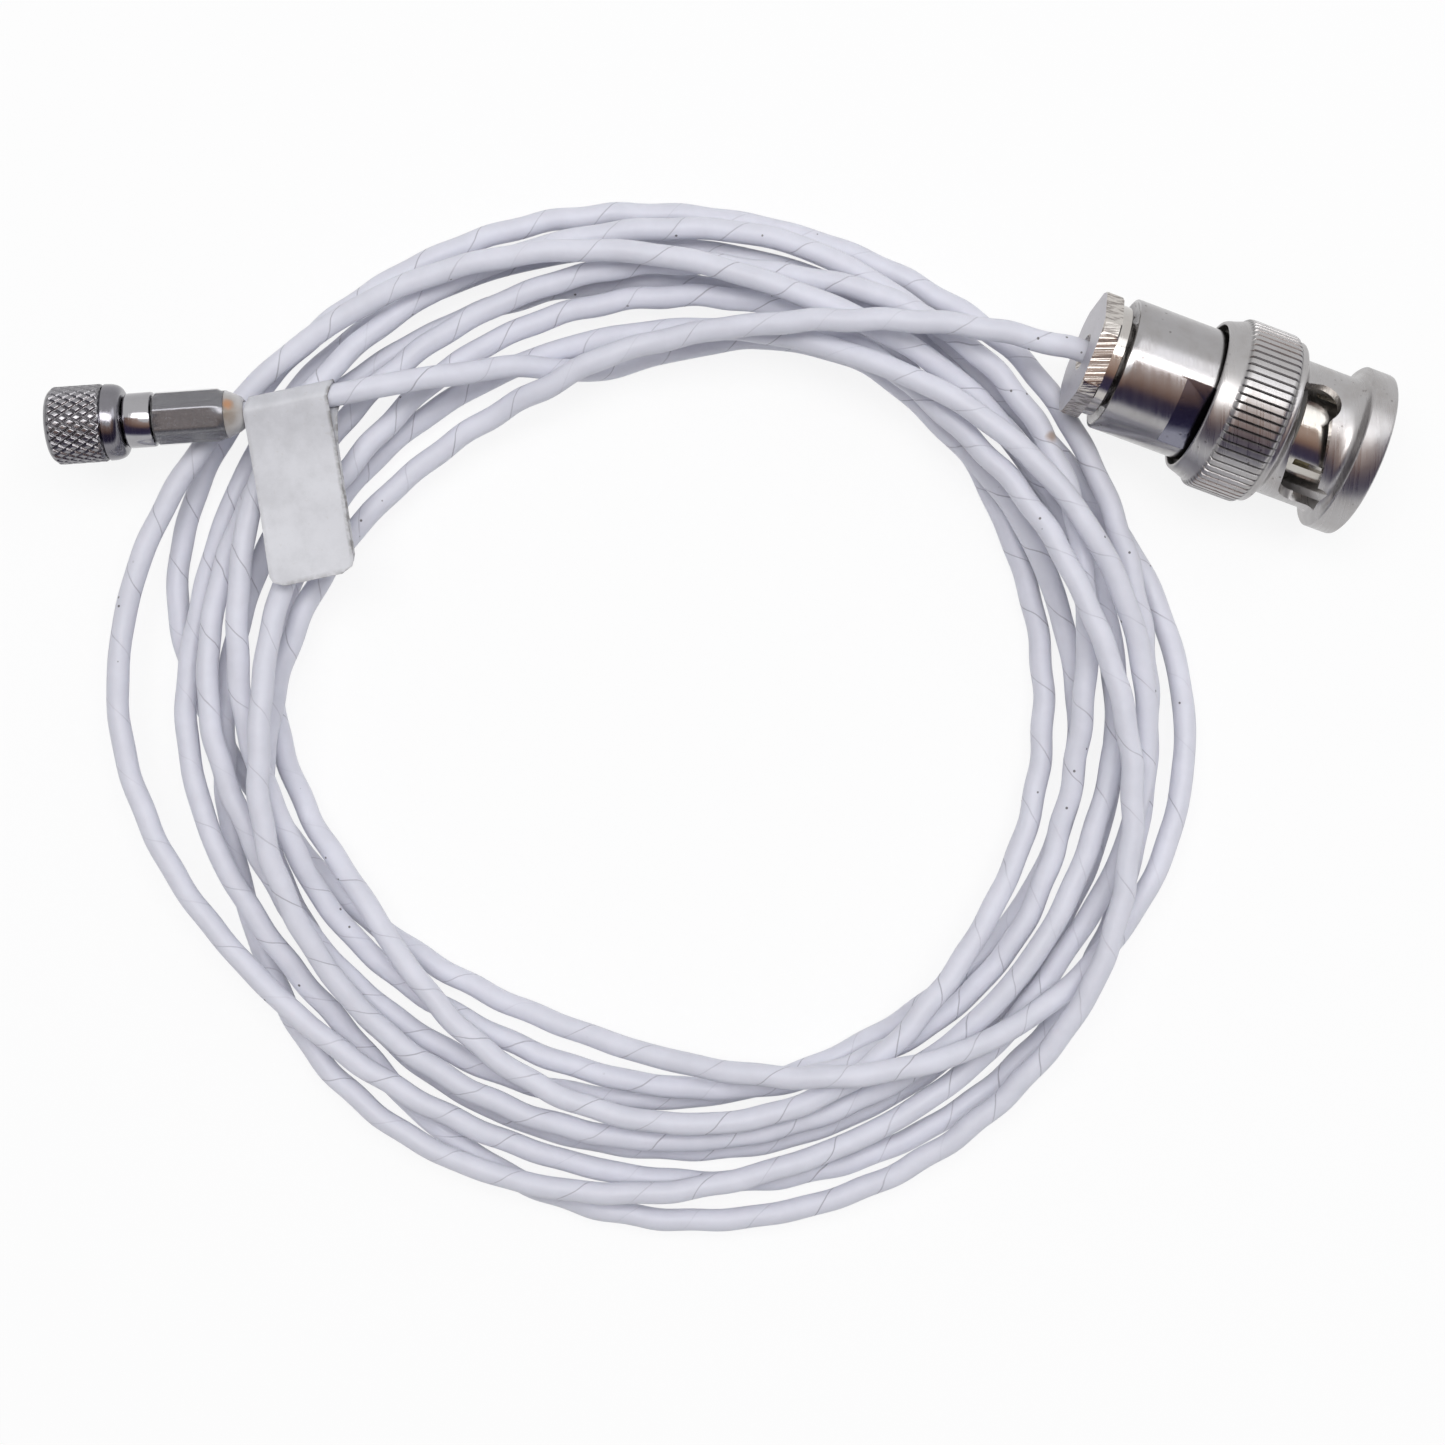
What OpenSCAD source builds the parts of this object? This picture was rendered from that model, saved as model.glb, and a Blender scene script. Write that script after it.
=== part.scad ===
// Low-noise instrument cable: a coiled miniature coaxial cable with a
// 10-32 coaxial plug on one end and a BNC plug on the other.
// Millimetres. +Z is up, the coil lies on the plane z = 0, the origin is
// midway between the two plugs, on that plane.

/* [Cable] */
// Outer diameter of the cable jacket
cable_d = 1.9; // [1.5:0.05:2.0]
// Diameter of the cable's dielectric core
core_d = 1.3; // [0.9:0.05:1.35]
// Diameter of the cable's centre conductor
wire_d = 0.4; // [0.25:0.05:0.5]

/* [BNC coupling] */
// Diameter over the knurl of the coupling sleeve
coupling_d = 14.5; // [14.2:0.05:15]
// Diameter of the sleeve's front rim
rim_d = 13.9; // [13:0.05:14.1]
// Diameter of the sleeve between the knurl and the rim
waist_d = 11.5; // [11.3:0.05:12]
// How much wider the sleeve's bore is than the outer contact shell
bore_room = 1.8; // [1.68:0.02:2]
// Length of the coupling sleeve
coupling_len = 14.6; // [14.5:0.05:15.5]
// Length of the knurled band
knurl_len = 4.1; // [3.5:0.1:4.5]
// Number of ribs round the knurl
knurl_ribs = 68; // [40:2:72]
// Width of the bayonet slots
slot_w = 2.7; // [2.1:0.05:2.8]
// Diameter of the round hole at the locked end of each slot
lock_hole_d = 3.0; // [2.8:0.05:3.2]
// Turn of the sleeve from first contact to the lock
bayonet_turn = 84; // [70:1:90]
// Free travel of the sleeve against its wave washers
coupling_travel = 1.0; // [0.5:0.1:1.2]

/* [BNC body] */
// Diameter of the plug's rear barrel
barrel_d = 11.1; // [10.6:0.05:11.4]
// Length of the rear barrel
barrel_len = 8.05; // [7.5:0.05:8.4]
// Width across flats of the clamp nut's hexagon
hex_af = 9.53; // [9:0.05:10]
// Thickness of the clamp nut's hexagon
hex_t = 1.5; // [1.4:0.1:2.2]
// Diameter of the outer contact shell
shell_d = 8.1; // [8.0:0.02:8.2]
// Wall of the outer contact shell
shell_wall = 0.45; // [0.35:0.05:0.6]
// Number of slits in the outer contact shell
shell_slits = 4; // [3:1:6]
// Diameter of the centre pin
pin_d = 1.35; // [1.2:0.05:1.4]

/* [10-32 plug] */
// Diameter over the knurl of the coupling nut
nut_d = 6.35; // [6:0.05:7]
// Length of the coupling nut
nut_len = 6.1; // [5.9:0.05:7]
// Length of the knurled part of the nut
nut_knurl_len = 4.5; // [4:0.05:4.8]
// Major diameter of the nut's thread
thread_d = 4.83; // [4.7:0.01:4.95]
// Number of knurl grooves each way round the nut
nut_grooves = 24; // [16:2:30]
// Free play of the nut along the plug
nut_play = 0.3; // [0.1:0.05:0.4]
// Diameter of the polished collar behind the nut
collar_d = 4.5; // [4.2:0.05:4.8]
// Length of that collar
collar_len = 2.35; // [1.5:0.05:2.5]
// Diameter over the heat-shrink sleeve
shrink_d = 4.4; // [4.2:0.05:4.6]
// Wall of the heat-shrink sleeve
shrink_wall = 0.2; // [0.15:0.01:0.25]
// Length of the crimp sleeve
crimp_len = 5.9; // [5:0.1:6.5]

/* [Label] */
// Width of the flag label along the cable
label_w = 6.8; // [5:0.1:8]
// Length of the flag from the cable to its free edge
label_len = 14.6; // [10:0.1:16]
// Thickness of one layer of the label
label_t = 0.15; // [0.1:0.01:0.2]

/* [Hidden] */
$fn = 72;
e = 0.01;
fit = 0.05;      // radial gap of pieces that are assembled into each other
run = 0.1;       // radial gap of pieces that turn or slide
seat = 0.05;     // end gap between stacked pieces

// ---- where the two plugs lie --------------------------------------------
// Rear end of each plug and the way its mating end points
bnc_turn = -19.6;
bnc_tilt = 5;          // the BNC plug rests on its front rim, rear end up
plug_at = [-39.1, -0.58, 9];
plug_turn = 184;

// Puts a plug that is drawn along +X, rear end at 0, in its place
module in_bnc() translate(bnc_at) rotate([0, bnc_tilt, bnc_turn]) children();
module in_plug() translate(plug_at) rotate([0, 0, plug_turn]) children();
// Turns a profile of [radius, distance from the rear] about the X axis
module turned(pts, fn = 72) rotate([0, 90, 0]) rotate_extrude($fn = fn) polygon(pts);
// A plain ring from a to b along X
module ring_x(r_out, r_in, a, b, fn = 72)
    turned([[r_in, a], [r_out, a], [r_out, b], [r_in, b]], fn);
module rod_x(r, a, b, fn = 48) translate([a, 0, 0]) rotate([0, 90, 0]) cylinder(r = r, h = b - a, $fn = fn);

// ---- cable: the coil ----------------------------------------------------
// Distance of the strand from the middle of the coil, one row per lap,
// a value every 30 degrees, counter-clockwise from +X
lap_reach = [
    [34, 34, 39, 32, 29, 30, 32.5, 33.5, 35, 35.5, 37, 38],
    [39, 38.5, 39, 39.5, 41, 41.5, 38, 36, 39, 42, 43, 43],
    [40, 37, 36.5, 36, 34.5, 34, 34, 34.5, 34.5, 35, 36, 37],
    [38.5, 38.5, 38, 39, 42.5, 44.5, 46.5, 39, 37, 38, 41, 42.5],
    [42, 41, 42, 42, 43, 42.5, 37.5, 29.5, 26, 27.5, 34.5, 42],
    [45, 41, 41, 41.5, 41, 39.5, 34.5, 30.5, 29, 30, 33.5, 35.5],
    [36.5, 40.5, 40, 38, 36, 36.5, 36, 37, 40, 39.5, 38.5, 39.5],
    [41.5, 39, 35.5, 33.5, 32.5, 32.5, 33, 28.5, 30.5, 34.5, 34.5, 33],
    [33.5, 33.5, 36.5, 37, 37, 38, 36.5, 34.5, 32.5, 31, 32.5, 35],
    [35, 35, 35, 32, 33.5, 36, 36, 36, 36, 36, 36, 36]];
// How many strands lie under it there, before the pile settles
lap_level = [
    [5, 5, 5, 5, 2, 1, 1.6, 1, 0, 0, 0, 0],
    [2, 0.5, 0, 0, 0, 0, 2, 2, 0, 1, 1, 2.8],
    [5, 4, 2, 1, 0, 2, 3, 3, 2, 1, 1, 1],
    [3, 2, 3, 2, 3, 2, 2, 3, 2, 1, 2, 0],
    [2, 1.3, 0, 0.3, 2, 1, 0, 0, 0, 2, 4.5, 1],
    [1, 1, 2, 2, 1, 3, 2, 1, 1, 1, 1, 1],
    [2, 3, 3, 1, 1, 1, 2.7, 1, 1, 2, 1, 1],
    [4, 5, 3, 1, 0, 1, 1, 2, 3, 2, 2, 1],
    [0, 0, 0, 0, 0, 1.5, 3, 1, 1, 0, 0, 0],
    [1, 1, 1, -0.6, 1, 1, 1, 1, 1, 1, 1, 1]];
coil_mid = [-5.65, -25.95];
pile_axis = [0.1, -26];
per_lap = 24;
first_ring = 8;                 // lap 0, 120 degrees
last_ring = 9*per_lap + 5;      // lap 9, 75 degrees
rings = last_ring - first_ring + 1;
rest_z = 0.4*cable_d;           // the lowest strands are pressed flat by a tenth
layer_h = 0.9*cable_d;
room = 1.53*cable_d;            // how far apart settling keeps two strands
rounds = 36;
function flat(t) = [for (row = t) each row];
reach_all = flat(lap_reach);
level_all = flat(lap_level);
function halfway(v, i) = (9*(v[i] + v[i + 1]) - v[i - 1] - v[i + 2])/16;
function reach_at(i) = i % 2 == 0 ? reach_all[i/2] : halfway(reach_all, (i - 1)/2);
function level_at(i) = i % 2 == 0 ? level_all[i/2]
    : (level_all[(i - 1)/2] + level_all[(i + 1)/2])/2;
function target(i) = [reach_at(i + first_ring), rest_z + layer_h*min(level_at(i + first_ring), 5)];
function pick(v, i) = i < 0 || i >= len(v) ? [0, 0] : v[i];
// Push between two strands that cross the same half plane, as [reach, height]
function apart(d) = let (l = norm(d)) l >= room ? [0, 0] : d*((room - l)/max(l, 0.001)/2);
function pushes(p) = [for (m = [1:9]) [for (i = [0:1:rings - per_lap*m - 1]) apart(p[i + per_lap*m] - p[i])]];
function halves(p) = [for (m = [1:9]) [for (i = [0:1:rings - per_lap*m - 2])
    apart((p[i + per_lap*m] + p[i + per_lap*m + 1] - p[i] - p[i + 1])/2)]];
function total(v, i = 0, s = [0, 0]) = i == len(v) ? s : total(v, i + 1, s + v[i]);
function moved(p, a, h, i) = total([for (m = [1:9]) let (j = i - per_lap*m)
    pick(a[m - 1], j) - pick(a[m - 1], i)
    + (pick(h[m - 1], j) + pick(h[m - 1], j - 1) - pick(h[m - 1], i) - pick(h[m - 1], i - 1))/2]);
// One round: strands push each other apart, and spring back a little
function settled_ring(p, a, h, i, goal, soft) =
    i < 2 || i > rings - 3 ? goal[i] :
    let (push = moved(p, a, h, i), bend = p[i - 1] + p[i + 1] - 2*p[i], home = goal[i] - p[i])
    [p[i][0] + 0.22*push[0] + (soft ? 0.03*home[0] + 0.04*bend[0] : 0),
     max(rest_z, p[i][1] + 0.9*push[1] + (soft ? 0.04*home[1] + 0.12*bend[1] : 0.03*bend[1]))];
function settle(p, goal, n) = n == 0 ? p :
    let (a = pushes(p), h = halves(p), soft = n > rounds*0.4)
    settle([for (i = [0:rings - 1]) settled_ring(p, a, h, i, goal, soft)], goal, n - 1);
// A pile narrows a little as it rises
function placed(q, i) = let (k = 1 - 0.0047*(q[1] - 4.2), w = 15*(i + first_ring),
    m = (coil_mid - pile_axis + q[0]*[cos(w), sin(w)])*k + pile_axis) [m[0], m[1], q[1]];
function goals() = [for (i = [0:rings - 1]) target(i)];
function coil_points() = let (g = goals(), s = settle(g, g, rounds)) [for (i = [0:rings - 1]) placed(s[i], i)];
coil_start = [for (i = [0:1]) placed(target(i), i)];
coil_end = [for (i = [rings - 2:rings - 1]) placed(target(i), i)];

// ---- cable: a tube along points -----------------------------------------
function unit(v) = v/norm(v);
function heading(p, i) = unit(i == 0 ? p[1] - p[0] : i == len(p) - 1 ? p[i] - p[i - 1]
    : unit(p[i + 1] - p[i]) + unit(p[i] - p[i - 1]));
function hoop(p, i, r, n) = let (t = heading(p, i), u = unit(cross([0, 0, 1], t)), w = cross(t, u))
    [for (k = [0:n - 1]) p[i] + r*(cos(360*(k + 0.5)/n)*u + sin(360*(k + 0.5)/n)*w)];
module tube(p, d, n) {
    m = len(p);
    pts = [for (i = [0:m - 1]) each hoop(p, i, d/2, n)];
    side = [for (i = [0:m - 2]) for (k = [0:n - 1]) let (a = i*n + k, b = i*n + (k + 1)%n)
        each [[a, b + n, b], [a, a + n, b + n]]];
    cap = [for (k = [1:n - 2]) each [[0, k, k + 1], [(m - 1)*n, (m - 1)*n + k + 1, (m - 1)*n + k]]];
    polyhedron(pts, concat(side, cap), convexity = 20);
}
// Least distance between the strands, measured ring by ring
function least_gap(p) = min([for (m = [1:9]) for (s = [-1:1]) for (i = [max(0, -s):1:len(p) - 2 - per_lap*m - max(s, 0)])
    let (j = i + per_lap*m + s) for (f = [0, 0.33, 0.67]) for (g = [0, 0.33, 0.67])
    norm(p[i]*(1 - f) + p[i + 1]*f - p[j]*(1 - g) - p[j + 1]*g)]) - cable_d;

module cable_coil() {
    p = coil_points();
    echo(least_gap = least_gap(p));
    color("whitesmoke") difference() {
        tube(p, cable_d, 6);
        translate([coil_mid[0] - 60, coil_mid[1] - 60, -3]) cube([120, 120, 3]);
    }
}

// ---- cable: the free stretches ------------------------------------------
// Where the jacket ends inside each plug, from the plug's rear end
bnc_jacket_end = 5.4;
plug_jacket_end = 1.2;
function bnc_point(s) = bnc_at + s*[cos(bnc_turn)*cos(bnc_tilt), sin(bnc_turn)*cos(bnc_tilt), -sin(bnc_tilt)];
function plug_point(s) = plug_at + s*[cos(plug_turn), sin(plug_turn), 0];
tail_bnc_points = [
    [27.3, 5, 9.4],
    [25.4, 5.4, 9.7],
    [22.8, 6, 10],
    [19.7, 6.4, 10.3],
    [16.5, 6.7, 10.6],
    [13.4, 6.8, 10.6],
    [8.4, 6.9, 10],
    [3.2, 6.7, 9],
    [-1.3, 6.3, 8],
    [-5.6, 5.5, 7],
    [-9.6, 4.4, 6.9],
    [-13.3, 2.6, 6.2]];
tail_plug_points = [
    [-0.8, 6.3, 1],
    [-5.4, 5.4, 1],
    [-9.4, 4.2, 1.1],
    [-11.4, 3.8, 2.3],
    [-13.6, 3.7, 3.8],
    [-16.5, 3.8, 5.2],
    [-19.4, 3.4, 6.3],
    [-22.5, 2.7, 7.6],
    [-26, 2.1, 8.6],
    [-30, 1.2, 9],
    [-33.5, 0.65, 9],
    [-37, -0.1, 9]];
module cable_tail_bnc() color("whitesmoke") tube(concat([bnc_point(bnc_jacket_end), bnc_point(-1)],
    tail_bnc_points, [coil_start[0] - 2.2*unit(coil_start[1] - coil_start[0]), coil_start[0]]), cable_d, 8);
module cable_tail_plug() color("whitesmoke") tube(concat(
    [coil_end[1], coil_end[1] + 2.2*unit(coil_end[1] - coil_end[0])],
    tail_plug_points, [plug_point(-0.8), plug_point(plug_jacket_end)]), cable_d, 8);

// ---- flag label ----------------------------------------------------------
label_at = [-35.55, 0.17, 9];
label_turn = 12;
module flag_label() {
    r = cable_d/2 + fit + 0.15;
    color("white") translate(label_at) rotate([0, 0, label_turn]) {
        difference() {
            union() {
                ring_x(r + label_t, r, -label_w/2, label_w/2, 32);
                translate([-label_w/2, -label_len, -label_t]) cube([label_w, label_len - r, 2*label_t]);
            }
            rod_x(r, -label_w, label_w, 32);
            for (k = [-1, 1]) translate([k*(label_w/2 - 0.8), -label_len + 0.8, 0]) difference() {
                translate([k > 0 ? 0 : -1, -1, -1]) cube([1, 1, 2]);
                cylinder(r = 0.8, h = 4, center = true, $fn = 32);
            }
        }
    }
}

// ---- 10-32 plug -----------------------------------------------------------
// Stations along the plug, from its rear end
shrink_tail = 0.7;
crimp_a = 1.4;
crimp_b = crimp_a + crimp_len;
collar_a = crimp_b + 0.1;
collar_b = collar_a + collar_len;
nut_a = collar_b + seat;
nut_b = nut_a + nut_len;
neck_r = 1.6;
web_b = nut_a + 1.25;
ring_a = web_b + seat;
ring_t = 0.35;
head_a = ring_a + ring_t + nut_play + seat;
head_b = head_a + 0.6;
head_r = thread_d/2 - 0.35;
thread_len = 2;
core_r = core_d/2;

// A band of diamond knurl: rows of pyramids, every second row turned by half a pitch
module knurl_band(r_in, r_low, r_high, a, b, n, rows) {
    m = 2*n;
    step = (b - a)/rows;
    outer = [for (j = [0:rows]) for (i = [0:m - 1])
        let (r = j == 0 || j == rows ? r_low : (i + j) % 2 == 0 ? r_high : r_low)
        [a + j*step, r*cos(360*i/m), r*sin(360*i/m)]];
    inner = [for (x = [a, b]) for (i = [0:m - 1]) [x, r_in*cos(360*i/m), r_in*sin(360*i/m)]];
    q = (rows + 1)*m;
    skin = [for (j = [0:rows - 1]) for (i = [0:m - 1]) let (k = (i + 1)%m, c = j*m)
        each (i + j) % 2 == 0 ? [[c + i, c + m + i, c + k], [c + k, c + m + i, c + m + k]]
            : [[c + i, c + m + k, c + k], [c + i, c + m + i, c + m + k]]];
    bore = [for (i = [0:m - 1]) let (k = (i + 1)%m) each [[q + i, q + k, q + m + i], [q + k, q + m + k, q + m + i]]];
    front = [for (i = [0:m - 1]) let (k = (i + 1)%m, c = rows*m) each [[c + i, q + m + i, c + k], [c + k, q + m + i, q + m + k]]];
    back = [for (i = [0:m - 1]) let (k = (i + 1)%m) each [[i, k, q + i], [k, q + k, q + i]]];
    polyhedron(points = concat(outer, inner), faces = concat(skin, bore, front, back), convexity = 6);
}
module plug_nut() in_plug() color("silver") {
    knurl_a = nut_b - nut_knurl_len;
    r = nut_d/2;
    difference() {
        turned([[neck_r + run, nut_a], [r - 0.75, nut_a], [r - 0.4, nut_a + 0.15],
            [r - 0.15, nut_a + 0.5], [r - 0.05, nut_a + 1], [r - 0.05, knurl_a - 0.5], [r - 0.15, knurl_a - 0.25],
            [r - 0.3, knurl_a - 0.15], [r - 0.3, knurl_a + 0.1], [r - 0.3, nut_b - 0.2],
            [r - 0.45, nut_b], [thread_d/2 + 0.1, nut_b], [thread_d/2, nut_b - 0.1],
            [thread_d/2, nut_b - thread_len - 0.1], [thread_d/2 - 0.22, nut_b - thread_len - 0.1],
            [thread_d/2 - 0.22, web_b], [neck_r + run, web_b]]);
    }
    knurl_band(r - 0.45, r - 0.18, r, knurl_a, nut_b - 0.25, nut_grooves, 12);
}
module plug_retaining_ring() in_plug() color("goldenrod")
    ring_x(head_r, neck_r + run, ring_a, ring_a + ring_t);
module plug_gasket() in_plug() color("dimgray") ring_x(head_r - 0.05, 1.35, head_b + seat, head_b + 0.45, 48);
module plug_body() in_plug() color("silver") difference() {
    turned([[0, collar_a], [collar_d/2 - 0.15, collar_a], [collar_d/2, collar_a + 0.15],
        [collar_d/2, collar_b - 0.25], [collar_d/2 - 0.25, collar_b], [neck_r, collar_b],
        [neck_r, head_a], [head_r, head_a], [head_r, head_b], [1.25, head_b],
        [1.25, head_b + 0.75], [0, head_b + 0.75]]);
    rod_x(core_r + fit, collar_a - 1, collar_b + 0.4);
    rod_x(1.0, collar_b + 0.4 - e, head_b + 2);
}
module plug_insulator() in_plug() color("white") difference() {
    rod_x(1.0 - fit, collar_b + 0.45, head_b + 0.75);
    rod_x(wire_d/2 + fit, collar_b, collar_b + 1.2);
    rod_x(0.35 + fit, collar_b + 1.15, head_b + 2);
}
module plug_contact_pin() in_plug() color("gold") turned([[0, collar_b + 1.25], [0.35, collar_b + 1.25],
    [0.35, head_b + 1.1], [0.15, head_b + 1.35], [0, head_b + 1.35]], 32);
// The crimped middle of the plug has six flats; g grows it on every side
crimp_af = 4.05;
module crimped(g) intersection() {
    rod_x(shrink_d/2 + g, crimp_a + 0.7, crimp_b - 0.9, 72);
    rotate([19, 0, 0]) rotate([0, 90, 0]) cylinder(r = (crimp_af/2 + g)/cos(30), h = 20, $fn = 6);
}
module plug_crimp_sleeve() in_plug() color("goldenrod") difference() {
    g = -shrink_wall - fit;
    union() {
        crimped(g);
        rod_x(shrink_d/2 + g - 0.15, crimp_a, crimp_b, 72);
    }
    rod_x(core_r + fit, crimp_a - 1, crimp_b + 1);
}
module plug_heat_shrink() in_plug() color("peru") let (r = shrink_d/2, q = cable_d/2 + fit, w = shrink_wall) difference() {
    union() {
        turned([[0, 0], [q + w, 0], [r - 0.4, shrink_tail - 0.4], [r - 0.15, shrink_tail + 0.2],
            [r - 0.15, crimp_b], [0, crimp_b]]);
        crimped(0);
    }
    crimped(-w);
    rod_x(r - 0.15 - w, crimp_a - 0.2, crimp_b + 1, 72);
    turned([[0, -1], [q, -1], [q, crimp_a - 1.3], [r - 0.15 - w, crimp_a - 0.1], [0, crimp_a - 0.1]]);
}
module plug_end_dielectric() in_plug() color("ivory") difference() {
    rod_x(core_r, plug_jacket_end + seat, collar_b + 0.35);
    rod_x(wire_d/2 + fit, plug_jacket_end, collar_b + 1);
}
module plug_end_wire() in_plug() color("silver") rod_x(wire_d/2, plug_jacket_end + seat, collar_b + 1.15, 24);

// ---- BNC plug --------------------------------------------------------------
// Stations along the plug, from the rear face of the clamp nut
neck_a = hex_t;
barrel_a = hex_t + 1.2;
barrel_b = barrel_a + barrel_len;
coupling_bore = shell_d + bore_room;
shoulder_r = coupling_bore/2 - 0.35;       // body inside the sleeve
mouth_len = 0.6;        // the barrel's front end stands this far inside the sleeve
mouth_r = barrel_d/2 + 0.5;
sleeve_a = barrel_b - mouth_len;
sleeve_b = sleeve_a + coupling_len;
// the front rim's lowest point touches the ground
bnc_at = [29.69, 4.43, sin(bnc_tilt)*(sleeve_b - 0.25) + cos(bnc_tilt)*rim_d/2];
lip_a = barrel_b + seat;
lip_b = lip_a + 1.1;
washer_a = lip_b + seat;
washer_t = 0.4;
wave_a = washer_a + washer_t + seat;
wave_t = 0.45;
flange_a = wave_a + wave_t + coupling_travel + seat;
flange_b = flange_a + 0.8;
cavity_r = shoulder_r + 1.15;
cavity_b = flange_b + 1.85;
body_b = cavity_b - 0.25;
shell_b = sleeve_b - 1.2;
flat_len = 3;
flat_deep = 0.84;
flat_turn = 33;
hex_turn = 11;           // a flat of the hexagon faces this far off straight up
hex_corner = 0.45;        // the hexagon's corners are turned off this far out

clamp_bore_r = barrel_d/2 - 1.9;
shank_b = barrel_a + 3.8;
slip_b = shank_b + seat + 0.4;
clampring_b = slip_b + seat + 1.2;
braid_b = clampring_b + seat + 1.0;
core_end = braid_b + 2.6;

module bnc_clamp_nut() in_bnc() color("gray") difference() {
    union() {
        intersection() {
            rotate([hex_turn, 0, 0]) rotate([0, 90, 0]) rotate([0, 0, 30]) cylinder(r = hex_af/2/cos(30), h = hex_t, $fn = 6);
            turned([[0, 0], [hex_af/2 + hex_corner - 0.15, 0], [hex_af/2 + hex_corner, 0.15],
                [hex_af/2 + hex_corner, hex_t - 0.15], [hex_af/2 + hex_corner - 0.15, hex_t], [0, hex_t]]);
        }
        rod_x(hex_af/2 - 0.1, hex_t - e, barrel_a - 0.3, 72);
        rod_x(clamp_bore_r + 0.4, hex_t, barrel_a - seat, 72);
        rod_x(clamp_bore_r - fit, barrel_a - 0.2, shank_b, 72);
    }
    rod_x(cable_d/2 + 0.15, -1, shank_b + 1);
    turned([[0, -e], [cable_d/2 + 0.6, -e], [cable_d/2 + 0.1, 0.5], [0, 0.5]]);
}
module bnc_slip_washer() in_bnc() color("silver") ring_x(clamp_bore_r - fit, cable_d/2 + 0.15, shank_b + seat, slip_b);
module bnc_clamp_gasket() in_bnc() color("black")
    turned([[core_r + fit + 0.4, slip_b + seat], [clamp_bore_r - fit, slip_b + seat],
        [clamp_bore_r - fit, clampring_b], [core_r + fit + 0.4, clampring_b]]);
module bnc_braid_clamp() in_bnc() color("goldenrod")
    turned([[core_r + fit, clampring_b + seat], [clamp_bore_r - fit, clampring_b + seat],
        [clamp_bore_r - fit, braid_b - 0.4], [clamp_bore_r - 0.45, braid_b], [core_r + fit, braid_b]]);
module bnc_body() in_bnc() color("gray") difference() {
    turned([[0, barrel_a + 0.7], [barrel_d/2 - 0.95, barrel_a + 0.7], [barrel_d/2 - 0.25, barrel_a],
        [barrel_d/2 - 0.1, barrel_a], [barrel_d/2, barrel_a + 0.1],
        [barrel_d/2, barrel_b - 0.2], [barrel_d/2 - 0.2, barrel_b], [shoulder_r, barrel_b],
        [shoulder_r, flange_a], [cavity_r - run, flange_a], [cavity_r - run, flange_b],
        [shoulder_r, flange_b], [shoulder_r, body_b], [0, body_b]]);
    rod_x(clamp_bore_r, barrel_a - 1, braid_b + seat, 72);
    rod_x(core_r + fit, barrel_a, body_b);
    rod_x(shell_d/2 - shell_wall, braid_b + 1.4, body_b + 1, 72);
    // wrench flats at the front of the barrel
    for (s = [0, 180]) rotate([flat_turn + s, 0, 0]) translate([barrel_b - flat_len, -5, barrel_d/2 - flat_deep])
        cube([flat_len + e, 10, 2]);
}
root_r = shell_d/2 + 0.25;
module bnc_outer_contact() in_bnc() color("silver") difference() {
    r = shell_d/2;
    turned([[r - shell_wall, body_b + seat], [shoulder_r, body_b + seat], [shoulder_r, body_b + 0.45],
        [root_r, body_b + 0.45], [root_r, body_b + 1.6], [r, body_b + 1.6 + root_r - r],
        [r, shell_b - 0.4], [r - 0.15, shell_b], [r - shell_wall, shell_b]]);
    for (k = [0:shell_slits - 1]) rotate([45 + 360*k/shell_slits, 0, 0])
        translate([body_b + 2.6, -0.3, 0]) cube([shell_b, 0.6, r + 1]);
}
module bnc_front_gasket() in_bnc() color("firebrick")
    ring_x(coupling_bore/2 - 0.15, root_r + fit, body_b + 0.5, body_b + 1.5);
insulator_a = braid_b + 1.45;
nose_b = body_b + 4.6;
module bnc_insulator() in_bnc() color("white") difference() {
    turned([[0, insulator_a], [shell_d/2 - shell_wall - fit, insulator_a],
        [shell_d/2 - shell_wall - fit, body_b + 0.6], [2.35, body_b + 0.6], [2.35, nose_b], [0, nose_b]]);
    rod_x(core_r + fit, insulator_a - 1, core_end + seat);
    rod_x(pin_d/2 + fit, core_end, nose_b + 1);
}
module bnc_centre_pin() in_bnc() color("gold") difference() {
    turned([[0, core_end + 0.1], [pin_d/2, core_end + 0.1], [pin_d/2, shell_b - 1.4],
        [pin_d/2 - 0.35, shell_b - 0.5], [0, shell_b - 0.5]], 48);
    rod_x(wire_d/2 + fit, core_end - 1, core_end + 2.2, 24);
}
module bnc_end_dielectric() in_bnc() color("ivory") difference() {
    rod_x(core_r, bnc_jacket_end + seat, core_end);
    rod_x(wire_d/2 + fit, bnc_jacket_end, core_end + 1, 24);
}
module bnc_end_wire() in_bnc() color("silver") rod_x(wire_d/2, bnc_jacket_end + seat, core_end + 2, 24);
module bnc_thrust_washer() in_bnc() color("silver")
    ring_x(cavity_r - run, shoulder_r + run, washer_a, washer_a + washer_t);
module bnc_wave_washers() in_bnc() color("darkgray")
    ring_x(cavity_r - run - 0.1, shoulder_r + run + 0.1, wave_a, wave_a + wave_t);

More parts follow.
